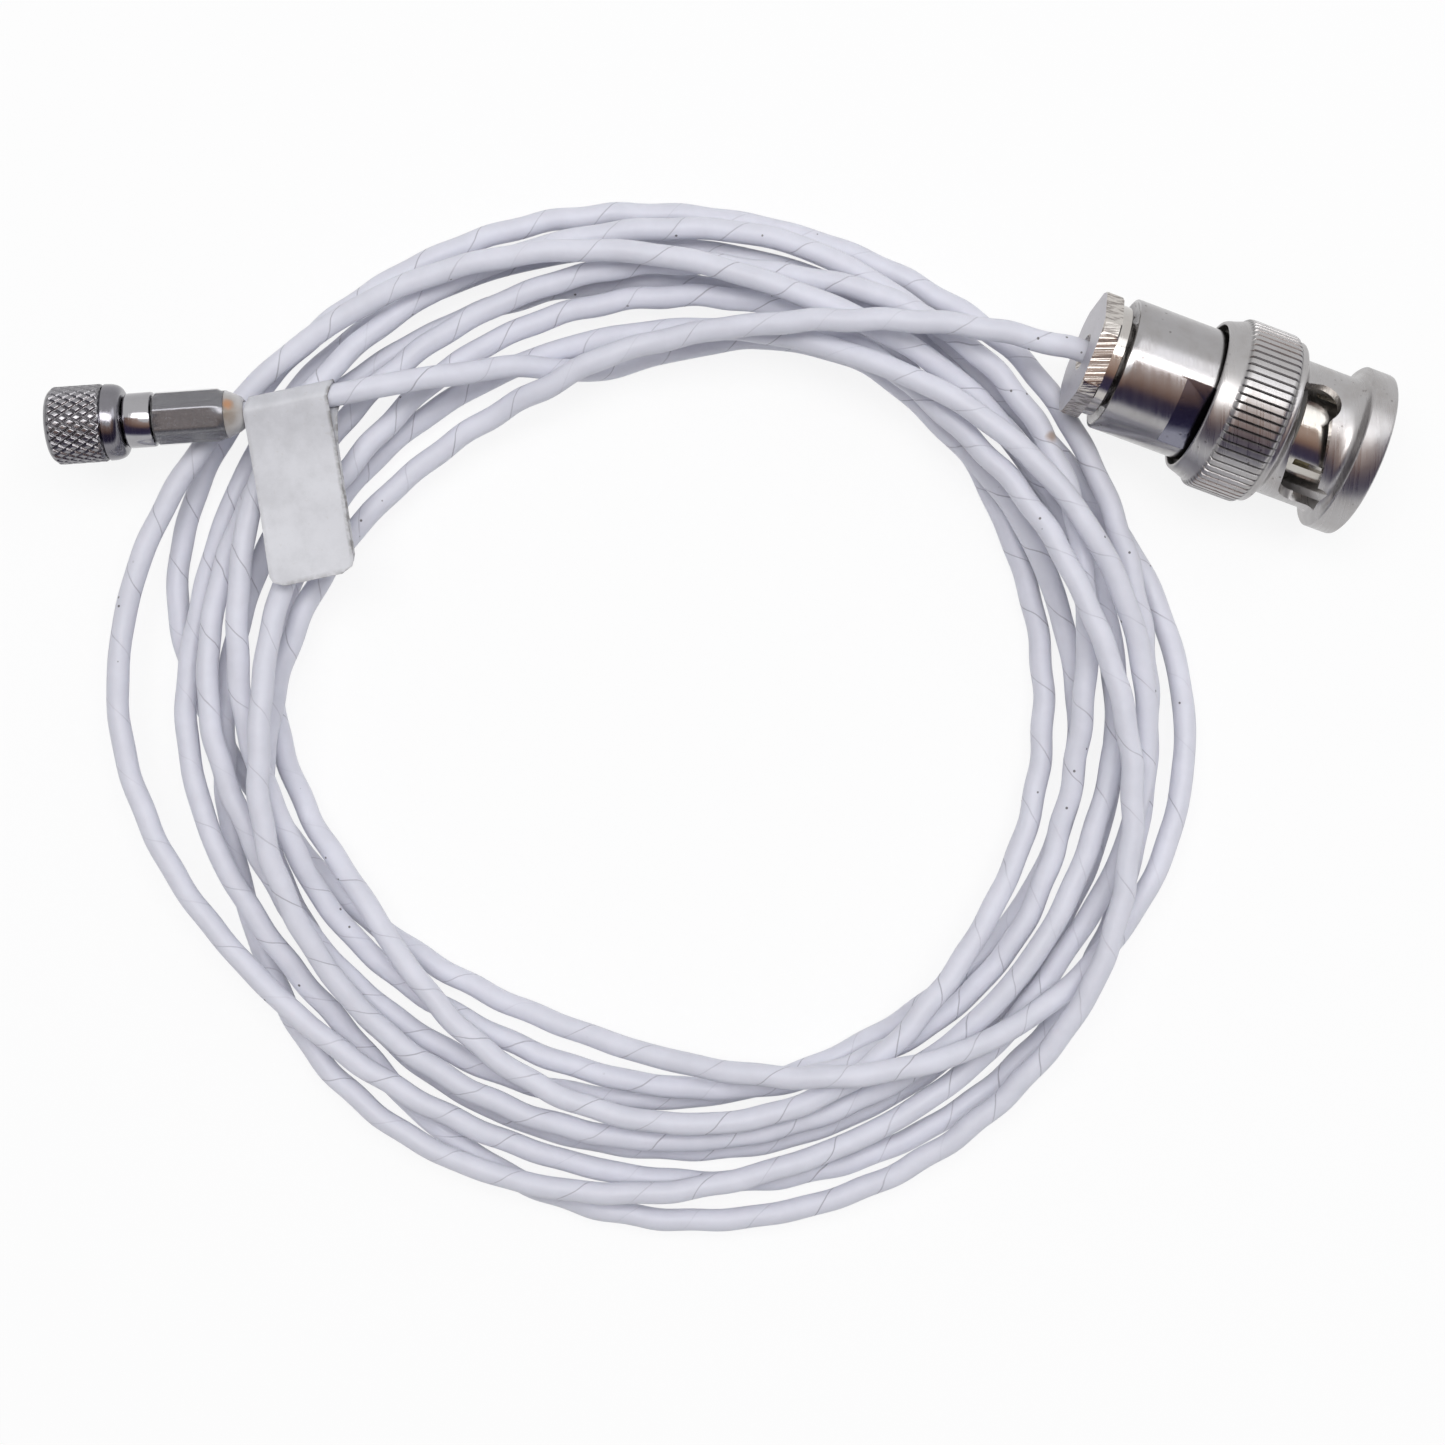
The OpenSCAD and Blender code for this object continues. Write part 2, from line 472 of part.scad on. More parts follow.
// Coupling sleeve: knurl, bayonet slots and rim
knurl_a = sleeve_a + 1.9;
knurl_b = knurl_a + knurl_len;
waist_a = knurl_b + 1.1;
waist_b = sleeve_b - 3;
lock_at = sleeve_b - 5.9;
detent = 0.5;           // the lock hole stands this far forward of the ramp's end
ramp_at = lock_at - detent;
entry_at = lock_at + 1.35;
lock_turn = -20.5;
module sleeve_blank() {
    r = coupling_d/2 - 0.35;
    turned([[shoulder_r + run, lip_a], [mouth_r, lip_a], [mouth_r, sleeve_a], [mouth_r + 0.25, sleeve_a],
        [mouth_r + 0.4, sleeve_a + 0.2], [r - 0.2, sleeve_a + 1.1], [r, knurl_a], [r, knurl_b + 0.5], [r - 0.3, knurl_b + 0.8], [waist_d/2 + 0.2, waist_a], [waist_d/2, waist_a + 0.3],
        [waist_d/2, waist_b], [waist_d/2 + 0.3, waist_b + 0.5], [rim_d/2 - 0.15, sleeve_b - 1.9],
        [rim_d/2, sleeve_b - 1.75], [rim_d/2, sleeve_b - 0.25], [rim_d/2 - 0.25, sleeve_b],
        [coupling_bore/2 + 0.25, sleeve_b], [coupling_bore/2, sleeve_b - 0.25],
        [coupling_bore/2, cavity_b], [cavity_r, cavity_b], [cavity_r, lip_b], [shoulder_r + run, lip_b]]);
}
module rib() rotate([0, 90, 0]) cylinder(r = 0.35, h = knurl_len - 0.6, $fn = 8);
module slot_pin(s, w, d) translate([s, 0, 0]) rotate([w, 0, 0]) cylinder(d = d, h = 9, $fn = 32);
module bnc_coupling_sleeve() in_bnc() color("gray") {
    difference() {
        union() {
            sleeve_blank();
            for (k = [0:knurl_ribs - 1]) rotate([360*k/knurl_ribs, 0, 0])
                translate([knurl_a + 0.3, 0, coupling_d/2 - 0.35]) rib();
        }
        for (h = [0, 180]) rotate([h, 0, 0]) {
            slot_pin(lock_at, lock_turn, lock_hole_d);
            for (q = [0:2]) hull() {
                slot_pin(ramp_at + q*(entry_at - ramp_at)/3, lock_turn + q*bayonet_turn/3, slot_w);
                slot_pin(ramp_at + (q + 1)*(entry_at - ramp_at)/3, lock_turn + (q + 1)*bayonet_turn/3, slot_w);
            }
            rotate([lock_turn + bayonet_turn, 0, 0]) translate([entry_at, -slot_w/2, 0])
                cube([9, slot_w, waist_d/2 + 0.15]);
        }
    }
}

cable_coil();
cable_tail_plug();
cable_tail_bnc();
flag_label();
plug_nut();
plug_retaining_ring();
plug_gasket();
plug_body();
plug_insulator();
plug_contact_pin();
plug_crimp_sleeve();
plug_heat_shrink();
plug_end_dielectric();
plug_end_wire();
bnc_clamp_nut();
bnc_slip_washer();
bnc_clamp_gasket();
bnc_braid_clamp();
bnc_body();
bnc_outer_contact();
bnc_front_gasket();
bnc_insulator();
bnc_centre_pin();
bnc_end_dielectric();
bnc_end_wire();
bnc_thrust_washer();
bnc_wave_washers();
bnc_coupling_sleeve();
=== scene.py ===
# Low-noise instrument cable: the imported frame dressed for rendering.
# Lengths in the tables are millimetres, as in the part's source.
import math
import random

import bmesh
import bpy
from mathutils import Matrix, Vector


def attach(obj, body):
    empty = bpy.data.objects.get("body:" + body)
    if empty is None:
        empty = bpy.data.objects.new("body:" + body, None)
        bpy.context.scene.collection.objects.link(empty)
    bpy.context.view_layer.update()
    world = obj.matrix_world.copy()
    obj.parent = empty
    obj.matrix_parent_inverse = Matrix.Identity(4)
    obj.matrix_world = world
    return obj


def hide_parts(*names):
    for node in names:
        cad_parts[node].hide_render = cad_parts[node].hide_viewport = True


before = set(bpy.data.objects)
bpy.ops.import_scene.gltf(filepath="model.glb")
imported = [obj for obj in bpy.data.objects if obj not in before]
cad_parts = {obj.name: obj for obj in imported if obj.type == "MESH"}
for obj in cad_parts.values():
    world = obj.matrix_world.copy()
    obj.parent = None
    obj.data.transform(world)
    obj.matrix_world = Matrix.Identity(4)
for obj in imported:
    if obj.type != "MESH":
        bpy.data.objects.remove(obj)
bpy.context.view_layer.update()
scene = bpy.context.scene
MM = 0.001
pi, sin, cos = math.pi, math.sin, math.cos
rad = math.radians

# ---------------------------------------------------------------- camera
IMAGE_PX, FOCAL_PX = 1445, 2521

cam = bpy.data.cameras.new("camera")
cam.sensor_fit = "AUTO"
cam.angle = 2*math.atan(IMAGE_PX/2/FOCAL_PX)
cam.clip_start, cam.clip_end = 0.01, 10
cam_obj = bpy.data.objects.new("camera", cam)
cam_obj.location = (0.1*MM, -26*MM, 216*MM)
scene.collection.objects.link(cam_obj)
scene.camera = cam_obj


# ---------------------------------------------------------------- mesh help
def add_mesh(name, verts, faces, smooth=True, sharp=None):
    me = bpy.data.meshes.new(name)
    me.from_pydata([tuple(v) for v in verts], [], faces)
    me.update()
    ob = bpy.data.objects.new(name, me)
    scene.collection.objects.link(ob)
    if smooth:
        me.polygons.foreach_set("use_smooth", [True]*len(me.polygons))
        if sharp is not None:
            me.set_sharp_from_angle(angle=rad(sharp))
    return ob


def modify(ob, kind, **values):
    m = ob.modifiers.new(kind.lower(), kind)
    for k, v in values.items():
        setattr(m, k, v)


def apply_all(ob):
    """Replace the object's mesh by what its modifiers make of it."""
    dg = bpy.context.evaluated_depsgraph_get()
    me = bpy.data.meshes.new_from_object(ob.evaluated_get(dg), preserve_all_data_layers=True,
                                         depsgraph=dg)
    old = ob.data
    ob.modifiers.clear()
    ob.data = me
    me.name = ob.name
    bpy.data.meshes.remove(old)


def place(at, turn, tilt=0):
    """Matrix of a plug that is drawn along +X with its rear end at 0."""
    return (Matrix.Translation(Vector(at)*MM) @ Matrix.Rotation(rad(turn), 4, "Z")
            @ Matrix.Rotation(rad(tilt), 4, "Y") @ Matrix.Scale(MM, 4))


def lathe(name, where, profile, n=128, shape=None, sharp=32):
    """Closed profile of (radius, station) turned about X; shape(r, s, w) may move a point."""
    m = len(profile)
    verts, faces = [], []
    for i in range(n):
        w = 2*pi*i/n
        for r, s in profile:
            if shape:
                r, s = shape(r, s, w)
            verts.append(where @ Vector((s, r*cos(w), r*sin(w))))
    for i in range(n):
        for j in range(m):
            a, b = i*m + j, i*m + (j + 1) % m
            c, d = ((i + 1) % n)*m + (j + 1) % m, ((i + 1) % n)*m + j
            faces.append((a, b, c, d))
    return add_mesh(name, verts, faces, True, sharp)


def finer(profile, closed=True, step=0.4):
    """The same (radius, station) profile with points added along its long edges."""
    out = []
    for i, p in enumerate(profile):
        q = profile[(i + 1) % len(profile)]
        out.append(p)
        if i == len(profile) - 1 and not closed:
            break
        k = max(1, int(math.hypot(q[0] - p[0], q[1] - p[1])/step))
        out += [(p[0] + (q[0] - p[0])*j/k, p[1] + (q[1] - p[1])*j/k) for j in range(1, k)]
    return out


def put_layer(ob, name, values):
    layer = ob.data.attributes.new(name, "FLOAT", "POINT")
    layer.data.foreach_set("value", values)


def groove_layer(ob, where, depth):
    """Attribute groove from depth(station, radius): 0 on the ribs, 1 at the bottom."""
    inv, values = where.inverted(), []
    for v in ob.data.vertices:
        q = inv @ v.co
        values.append(depth(q.x, math.hypot(q.y, q.z)))
    put_layer(ob, "groove", values)


def paint(ob, where, slot):
    """Material slot of each face from slot(q), with q its middle in the plug's own frame."""
    inv = where.inverted()
    for poly in ob.data.polygons:
        poly.material_index = slot(inv @ poly.center)


# ---------------------------------------------------------------- where the pieces lie
CABLE_D = 1.9
# The BNC plug rests on its front rim, rear end up.
BNC_TURN, BNC_TILT = -19.6, 5
RIM_D, RIM_AT = 13.9, 24.5
BNC_AT = Vector((29.69, 4.43, sin(rad(BNC_TILT))*RIM_AT + cos(rad(BNC_TILT))*RIM_D/2))
BNC = place(BNC_AT, BNC_TURN, BNC_TILT)
PLUG_TURN = 184
PLUG_AT = Vector((-39.1, -0.58, 9))
PLUG = place(PLUG_AT, PLUG_TURN)


# ---------------------------------------------------------------- node help
class Nodes:
    """A material with a Principled shader, and short calls that add nodes to it."""

    def __init__(self, name):
        self.mat = bpy.data.materials.new(name)
        self.mat.use_nodes = True
        self.t = self.mat.node_tree
        self.t.nodes.clear()
        self.out = self.new("ShaderNodeOutputMaterial")
        self.bsdf = self.new("ShaderNodeBsdfPrincipled")
        self.t.links.new(self.bsdf.outputs[0], self.out.inputs[0])

    def new(self, kind, **values):
        n = self.t.nodes.new(kind)
        for k, v in values.items():
            setattr(n, k, v)
        return n

    def put(self, socket, value):
        if isinstance(value, bpy.types.NodeSocket):
            self.t.links.new(value, socket)
        elif isinstance(value, (tuple, list)) and len(value) == 3 and socket.type == "RGBA":
            socket.default_value = (*value, 1)
        else:
            socket.default_value = value

    def math(self, op, a, b=0.0):
        n = self.new("ShaderNodeMath", operation=op)
        for s, v in zip(n.inputs, (a, b)):
            self.put(s, v)
        return n.outputs[0]

    def ramp(self, value, lo, hi, a=0.0, b=1.0):
        """From a to b as the value goes from lo to hi."""
        n = self.new("ShaderNodeMapRange", clamp=True, interpolation_type="SMOOTHSTEP")
        for s, v in zip(n.inputs, (value, lo, hi, a, b)):
            self.put(s, v)
        return n.outputs[0]

    def mix(self, f, a, b):
        n = self.new("ShaderNodeMix", data_type="RGBA", blend_type="MIX")
        self.put(n.inputs[0], f)
        self.put(n.inputs[6], a)
        self.put(n.inputs[7], b)
        return n.outputs[2]

    def noise(self, scale, detail=2.0, rough=0.5, vector=None):
        n = self.new("ShaderNodeTexNoise")
        n.inputs["Scale"].default_value = scale
        n.inputs["Detail"].default_value = detail
        n.inputs["Roughness"].default_value = rough
        self.put(n.inputs["Vector"], self.here() if vector is None else vector)
        return n.outputs[0]

    def cells(self, scale):
        n = self.new("ShaderNodeTexVoronoi", feature="F1")
        n.inputs["Scale"].default_value = scale
        self.put(n.inputs["Vector"], self.here())
        return n.outputs[0]

    def here(self):
        """The point on the surface, in metres."""
        if not hasattr(self, "_here"):
            self._here = self.new("ShaderNodeTexCoord").outputs["Object"]
        return self._here

    def stretched(self, turn, scale):
        """The point turned to a plug's axis, with a scale of its own for each direction."""
        n = self.new("ShaderNodeMapping")
        self.put(n.inputs["Vector"], self.here())
        n.inputs["Rotation"].default_value = turn
        n.inputs["Scale"].default_value = scale
        return n.outputs[0]

    def distance(self, point, vector=None):
        n = self.new("ShaderNodeVectorMath", operation="DISTANCE")
        self.put(n.inputs[0], self.here() if vector is None else vector)
        n.inputs[1].default_value = point
        return n.outputs["Value"]

    def attr(self, name):
        n = self.new("ShaderNodeAttribute", attribute_name=name, attribute_type="GEOMETRY")
        return n.outputs["Fac"]

    def bump(self, height, strength, distance):
        n = self.new("ShaderNodeBump")
        n.inputs["Strength"].default_value = strength
        n.inputs["Distance"].default_value = distance
        self.put(n.inputs["Height"], height)
        return n.outputs[0]

    def set(self, **values):
        for k, v in values.items():
            self.put(self.bsdf.inputs[k.replace("_", " ")], v)


FINE = 0.00003          # depth of fine grain, in metres
TURN_BNC = (0, rad(-BNC_TILT), rad(-BNC_TURN))
TURN_PLUG = (0, 0, rad(-PLUG_TURN))
PIT = (0.05, 0.035, 0.025)


def metal(name, base, stain, rough, scratch=0.25, pits=0.0, axis=None, groove=None, bump=0.1):
    """Plated metal: blotches, fine turning lines about the given axis, pits, and painted shade in
    the grooves.
    """
    n = Nodes(name)
    blot = n.noise(420, 4, 0.6)
    colour = n.mix(n.ramp(blot, 0.4, 0.75, 0, 0.5), base, stain)
    gritty = n.noise(5200, 3, 0.65)
    height = n.math("MULTIPLY", gritty, 0.35)
    if axis is not None:
        lines = n.noise(1.0, 3, 0.6, vector=n.stretched(axis, (9000, 180, 180)))
        height = n.math("ADD", height, n.math("MULTIPLY", lines, scratch))
        rough = n.ramp(lines, 0.3, 0.7, rough - 0.05, rough + 0.07)
    else:
        rough = n.ramp(gritty, 0.3, 0.7, rough - 0.04, rough + 0.06)
    if pits:
        spots = n.cells(1500)
        where = n.ramp(n.noise(300, 2), 0.5, 0.62)
        hit = n.math("MULTIPLY", n.ramp(spots, 0.10, 0.2, 1, 0), where)
        colour = n.mix(n.math("MULTIPLY", hit, pits), colour, PIT)
        height = n.math("SUBTRACT", height, n.math("MULTIPLY", hit, 2.2))
    if groove:
        # Painted shade: the grooves are darkened by their depth.
        groove_shade = n.math("MULTIPLY", n.attr(groove), 0.6)
        colour = n.mix(groove_shade, colour, tuple(0.16*c for c in base))
    n.set(Base_Color=colour, Metallic=1.0, Roughness=rough, Normal=n.bump(height, bump, FINE))
    return n.mat


nickel = metal("nickel_satin", (0.36, 0.352, 0.358), (0.30, 0.285, 0.28), 0.19, 0.28, 0.8,
               TURN_BNC)
nickel_knurl = metal("nickel_knurl", (0.41, 0.40, 0.402), (0.31, 0.29, 0.28), 0.31, 0.15, 0.6,
                     TURN_BNC, "groove")
nickel_inner = metal("nickel_inner", (0.50, 0.48, 0.45), (0.42, 0.39, 0.35), 0.16, 0.3, 0.0,
                     TURN_BNC)
# Painted shade: nearly black nickel for the inside of the sleeve's rear opening.
nickel_painted_shade = metal("nickel_painted_shade", (0.07, 0.065, 0.06), (0.05, 0.045, 0.04), 0.45, 0.2)
nut_face = metal("nickel_milled", (0.52, 0.51, 0.54), (0.45, 0.44, 0.46), 0.46, 0.3, 0.3)
neck_bright = metal("nickel_neck", (0.50, 0.48, 0.46), (0.42, 0.39, 0.36), 0.12, 0.3, 0.0,
                    TURN_BNC)
# Wrench flats: a real polished finish, and partly painted reflection: a dark bluish base for the
# dark surroundings they reflect.
flat_painted_reflection = metal("nickel_flat_painted_reflection", (0.22, 0.22, 0.27), (0.16, 0.16, 0.2), 0.12, 0.2, 0.2)
steel = metal("steel_polished", (0.36, 0.355, 0.37), (0.3, 0.29, 0.3), 0.12, 0.4, 0.0, TURN_PLUG)
steel_knurl = metal("steel_knurl", (0.27, 0.265, 0.28), (0.21, 0.2, 0.21), 0.27, 0.15, 0.3,
                    TURN_PLUG, "groove")
# Painted reflection: the nut's plain ring is the knurl's steel made darker, for the dark
# surroundings it reflects.
steel_ring_painted_reflection = metal("steel_ring_painted_reflection", (0.21, 0.205, 0.225), (0.16, 0.155, 0.165), 0.17, 0.3, 0.2,
                   TURN_PLUG)
gold = metal("gold_plate", (0.90, 0.66, 0.28), (0.8, 0.55, 0.22), 0.18, 0.2)
brass = metal("brass_ferrule", (0.62, 0.54, 0.44), (0.50, 0.42, 0.33), 0.22, 0.4, 0.3, TURN_PLUG)
crimp_metal = metal("crimp_satin", (0.165, 0.165, 0.18), (0.12, 0.12, 0.132), 0.22, bump=0.012)
washer_metal = metal("washer_steel", (0.30, 0.29, 0.27), (0.2, 0.18, 0.15), 0.3, 0.3, 0.4,
                     TURN_BNC)
silvered = metal("silvered_copper", (0.86, 0.84, 0.80), (0.75, 0.7, 0.62), 0.2, 0.2)


def milled_material():
    """Milled facet: coarse cutter marks that run along the plug."""
    n = Nodes("nickel_facet")
    lines = n.noise(1.0, 2, 0.55, vector=n.stretched(TURN_BNC, (60, 3600, 3600)))
    colour = n.mix(n.ramp(lines, 0.36, 0.58), (0.26, 0.235, 0.22), (0.56, 0.53, 0.50))
    n.set(Base_Color=colour, Metallic=1.0, Roughness=0.24, Normal=n.bump(lines, 0.55, 0.00012))
    return n.mat


facet = milled_material()


def plain(name, base, other, rough, scale=900, bump=0.15, **more):
    """Rubber or plastic: two close colours, uneven gloss and a fine grain."""
    n = Nodes(name)
    f = n.noise(scale, 3, 0.6)
    n.set(Base_Color=n.mix(f, base, other),
          Roughness=n.ramp(f, 0.3, 0.7, rough - 0.05, rough + 0.05),
          Normal=n.bump(n.noise(scale*4, 2), bump, FINE), **more)
    return n.mat


ptfe = plain("dielectric_white", (0.86, 0.86, 0.83), (0.8, 0.79, 0.75), 0.38)
ptfe_aged = plain("insulator_aged", (0.80, 0.74, 0.50), (0.66, 0.58, 0.34), 0.35)
rubber_dark = plain("rubber_dark", (0.04, 0.04, 0.04), (0.06, 0.055, 0.05), 0.65)
shrink = plain("heat_shrink", (0.5, 0.49, 0.5), (0.42, 0.41, 0.42), 0.16, 500, 0.1, Alpha=0.1)


TAPE_PITCH = 5.6        # the tape's seam goes once round the cable in this length
STAIN_AT = (0.0274, -0.0023, 0)


def jacket_material():
    """Wrapped white fluoropolymer tape: a helical seam, faint cloudiness, specks and one stain."""
    n = Nodes("jacket_ptfe")
    uv = n.new("ShaderNodeUVMap", uv_map="along").outputs[0]
    xyz = n.new("ShaderNodeSeparateXYZ")
    n.put(xyz.inputs[0], uv)
    along, around = xyz.outputs[0], xyz.outputs[1]
    wobble = n.math("MULTIPLY", n.math("SUBTRACT", n.noise(160, 2), 0.5), 0.5)
    turns = n.math("ADD", n.math("ADD", n.math("DIVIDE", along, TAPE_PITCH), around), wobble)
    saw = n.math("FRACT", turns)
    line = n.ramp(n.math("MINIMUM", saw, n.math("SUBTRACT", 1.0, saw)), 0.0, 0.022, 1, 0)
    seam = n.math("MULTIPLY", line, n.ramp(n.noise(110, 3), 0.38, 0.64, 0.2, 1.25))
    cloud = n.noise(260, 4, 0.6)
    colour = n.mix(n.ramp(cloud, 0.3, 0.75), (0.70, 0.705, 0.775), (0.765, 0.77, 0.845))
    colour = n.mix(n.math("MULTIPLY", seam, 0.5), colour, (0.27, 0.25, 0.30))
    step = n.ramp(saw, 0.0, 0.5, 1, 0)
    specks = n.math("MULTIPLY", n.ramp(n.cells(620), 0.05, 0.09, 1, 0),
                    n.ramp(n.noise(75, 2), 0.57, 0.6))
    colour = n.mix(n.math("MULTIPLY", specks, 0.85), colour, (0.07, 0.06, 0.06))
    flat = n.new("ShaderNodeVectorMath", operation="MULTIPLY")
    n.put(flat.inputs[0], n.here())
    flat.inputs[1].default_value = (1, 1, 0)
    far = n.math("ADD", n.distance(STAIN_AT, flat.outputs[0]),
                 n.math("MULTIPLY", n.noise(1500, 2), 0.0004))
    colour = n.mix(n.ramp(far, 0.0003, 0.0009, 0.7, 0), colour, (0.36, 0.22, 0.13))
    height = n.math("ADD", n.math("MULTIPLY", step, 0.6),
                    n.math("MULTIPLY", n.noise(1100, 3, 0.6), 0.35))
    height = n.math("SUBTRACT", height, n.math("MULTIPLY", seam, 0.8))
    n.set(Base_Color=colour, Roughness=n.ramp(cloud, 0.3, 0.7, 0.36, 0.5), IOR=1.36,
          Normal=n.bump(height, 0.45, 0.00006))
    n.bsdf.inputs["Subsurface Weight"].default_value = 0.12
    n.bsdf.inputs["Subsurface Radius"].default_value = (0.0006, 0.0005, 0.0005)
    n.bsdf.inputs["Subsurface Scale"].default_value = 1.0
    return n.mat


def taper_material():
    """Clear tubing over the cable: milky, browner towards the crimp, with one orange spot."""
    n = Nodes("shrink_taper")
    back = n.math("ADD", n.distance(PLUG @ Vector((1.6, 0, 1.2))),
                  n.math("MULTIPLY", n.noise(900, 3), 0.0008))
    colour = n.mix(n.ramp(back, 0.0009, 0.0024), (0.27, 0.215, 0.165), (0.56, 0.55, 0.55))
    near = n.math("ADD", n.distance(PLUG @ Vector((1.1, -0.6, 1.65))),
                  n.math("MULTIPLY", n.noise(2600, 2), 0.0003))
    colour = n.mix(n.ramp(near, 0.0003, 0.0008, 0.75, 0), colour, (0.52, 0.24, 0.10))
    n.set(Base_Color=colour, Roughness=0.22, Normal=n.bump(n.noise(1500, 3), 0.12, 0.00004))
    return n.mat


def label_material():
    """Aged white film: grey clouds, brown flecks and a dirty rim."""
    n = Nodes("label_film")
    dirt = n.noise(330, 5, 0.65)
    fleck = n.ramp(n.noise(1900, 3, 0.7), 0.62, 0.7)
    colour = n.mix(n.ramp(dirt, 0.35, 0.75), (0.64, 0.645, 0.68), (0.54, 0.545, 0.575))
    colour = n.mix(n.math("MULTIPLY", fleck, 0.25), colour, (0.48, 0.46, 0.44))
    rim = n.math("MULTIPLY", n.attr("rim"), n.ramp(n.noise(1300, 3), 0.42, 0.6, 0.3, 0.95))
    colour = n.mix(rim, colour, (0.16, 0.15, 0.145))
    n.set(Base_Color=colour, Roughness=0.42, Normal=n.bump(n.noise(700, 3, 0.6), 0.25, 0.00006))
    return n.mat


jacket = jacket_material()
amber = taper_material()
film = label_material()


def dress(ob, *mats):
    ob.data.materials.clear()
    for m in mats:
        ob.data.materials.append(m)


def dress_node(name, mat):
    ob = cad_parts[name]
    if not ob.material_slots:
        ob.data.materials.append(mat)
    for s in ob.material_slots:
        s.material = mat


# ---------------------------------------------------------------- the cable
def bnc_point(s):
    return BNC @ Vector((s, 0, 0))/MM


def plug_point(s):
    return PLUG @ Vector((s, 0, 0))/MM


# How far out the strand lies, and on which layer: a row for each lap, a column for each 30
# degrees.
LAP_REACH = [
    [34, 34, 39, 32, 29, 30, 32.5, 33.5, 35, 35.5, 37, 38],
    [39, 38.5, 39, 39.5, 41, 41.5, 38, 36, 39, 42, 43, 43],
    [40, 37, 36.5, 36, 34.5, 34, 34, 34.5, 34.5, 35, 36, 37],
    [38.5, 38.5, 38, 39, 42.5, 44.5, 46.5, 39, 37, 38, 41, 42.5],
    [42, 41, 42, 42, 43, 42.5, 37.5, 29.5, 26, 27.5, 34.5, 42],
    [45, 41, 41, 41.5, 41, 39.5, 34.5, 30.5, 29, 30, 33.5, 35.5],
    [36.5, 40.5, 40, 38, 36, 36.5, 36, 37, 40, 39.5, 38.5, 39.5],
    [41.5, 39, 35.5, 33.5, 32.5, 32.5, 33, 28.5, 30.5, 34.5, 34.5, 33],
    [33.5, 33.5, 36.5, 37, 37, 38, 36.5, 34.5, 32.5, 31, 32.5, 35],
    [35, 35, 35, 32, 33.5, 36, 36, 36, 36, 36, 36, 36]]
LAP_LEVEL = [
    [5, 5, 5, 5, 2, 1, 1.6, 1, 0, 0, 0, 0],
    [2, 0.5, 0, 0, 0, 0, 2, 2, 0, 1, 1, 2.8],
    [5, 4, 2, 1, 0, 2, 3, 3, 2, 1, 1, 1],
    [3, 2, 3, 2, 3, 2, 2, 3, 2, 1, 2, 0],
    [2, 1.3, 0, 0.3, 2, 1, 0, 0, 0, 2, 4.5, 1],
    [1, 1, 2, 2, 1, 3, 2, 1, 1, 1, 1, 1],
    [2, 3, 3, 1, 1, 1, 2.7, 1, 1, 2, 1, 1],
    [4, 5, 3, 1, 0, 1, 1, 2, 3, 2, 2, 1],
    [0, 0, 0, 0, 0, 1.5, 3, 1, 1, 0, 0, 0],
    [1, 1, 1, -0.6, 1, 1, 1, 1, 1, 1, 1, 1]]
COIL_MID, PILE_AXIS = (-5.65, -25.95), (0.1, -26)
LAPS, PER_LAP = 9, 24
FIRST, LAST = 8, LAPS*PER_LAP + 5
REST_Z, LAYER, ROOM, ROUNDS = 0.4*CABLE_D, 0.9*CABLE_D, 1.53*CABLE_D, 36


def coil_points():
    """The strands of the coil, pushed apart until none cuts another, as in the part's source."""
    reach = [v for row in LAP_REACH for v in row]
    level = [v for row in LAP_LEVEL for v in row]

    def between(v, i):
        return (9*(v[i] + v[i + 1]) - v[i - 1] - v[i + 2])/16

    goal = []
    for i in range(FIRST, LAST + 1):
        a, odd = i//2, i % 2
        r = between(reach, a) if odd else reach[a]
        h = (level[a] + level[a + 1])/2 if odd else level[a]
        goal.append((r, REST_Z + LAYER*min(h, 5)))
    n = len(goal)
    p = list(goal)

    def apart(dx, dz):
        gap = math.hypot(dx, dz)
        if gap >= ROOM:
            return 0.0, 0.0
        k = (ROOM - gap)/max(gap, 0.001)/2
        return dx*k, dz*k

    def shift(q, x, z):
        push[q][0] += x
        push[q][1] += z

    for left in range(ROUNDS, 0, -1):
        soft = left > ROUNDS*0.4
        push = [[0.0, 0.0] for _ in range(n)]
        for m in range(1, LAPS + 1):
            for i in range(n - PER_LAP*m):
                j = i + PER_LAP*m
                x, z = apart(p[j][0] - p[i][0], p[j][1] - p[i][1])
                shift(j, x, z)
                shift(i, -x, -z)
            for i in range(n - PER_LAP*m - 1):
                j = i + PER_LAP*m
                x, z = apart((p[j][0] + p[j + 1][0] - p[i][0] - p[i + 1][0])/2,
                             (p[j][1] + p[j + 1][1] - p[i][1] - p[i + 1][1])/2)
                for q in (j, j + 1):
                    shift(q, x/2, z/2)
                for q in (i, i + 1):
                    shift(q, -x/2, -z/2)
        new = list(goal)
        for i in range(2, n - 2):
            r, z = p[i]
            br, bz = p[i - 1][0] + p[i + 1][0] - 2*r, p[i - 1][1] + p[i + 1][1] - 2*z
            hr, hz = goal[i][0] - r, goal[i][1] - z
            new[i] = (r + 0.22*push[i][0] + (0.03*hr + 0.04*br if soft else 0),
                      max(REST_Z, z + 0.9*push[i][1] + (0.04*hz + 0.12*bz if soft else 0.03*bz)))
        p = new
    out = []
    for i, (r, z) in enumerate(p):
        # What lies higher looks larger from above, so it is drawn in towards the pile's axis.
        k, w = 1 - 0.0047*(z - 4.2), rad(360/PER_LAP*(i + FIRST))
        x = (COIL_MID[0] - PILE_AXIS[0] + r*cos(w))*k + PILE_AXIS[0]
        y = (COIL_MID[1] - PILE_AXIS[1] + r*sin(w))*k + PILE_AXIS[1]
        out.append(Vector((x, y, z)))
    return out


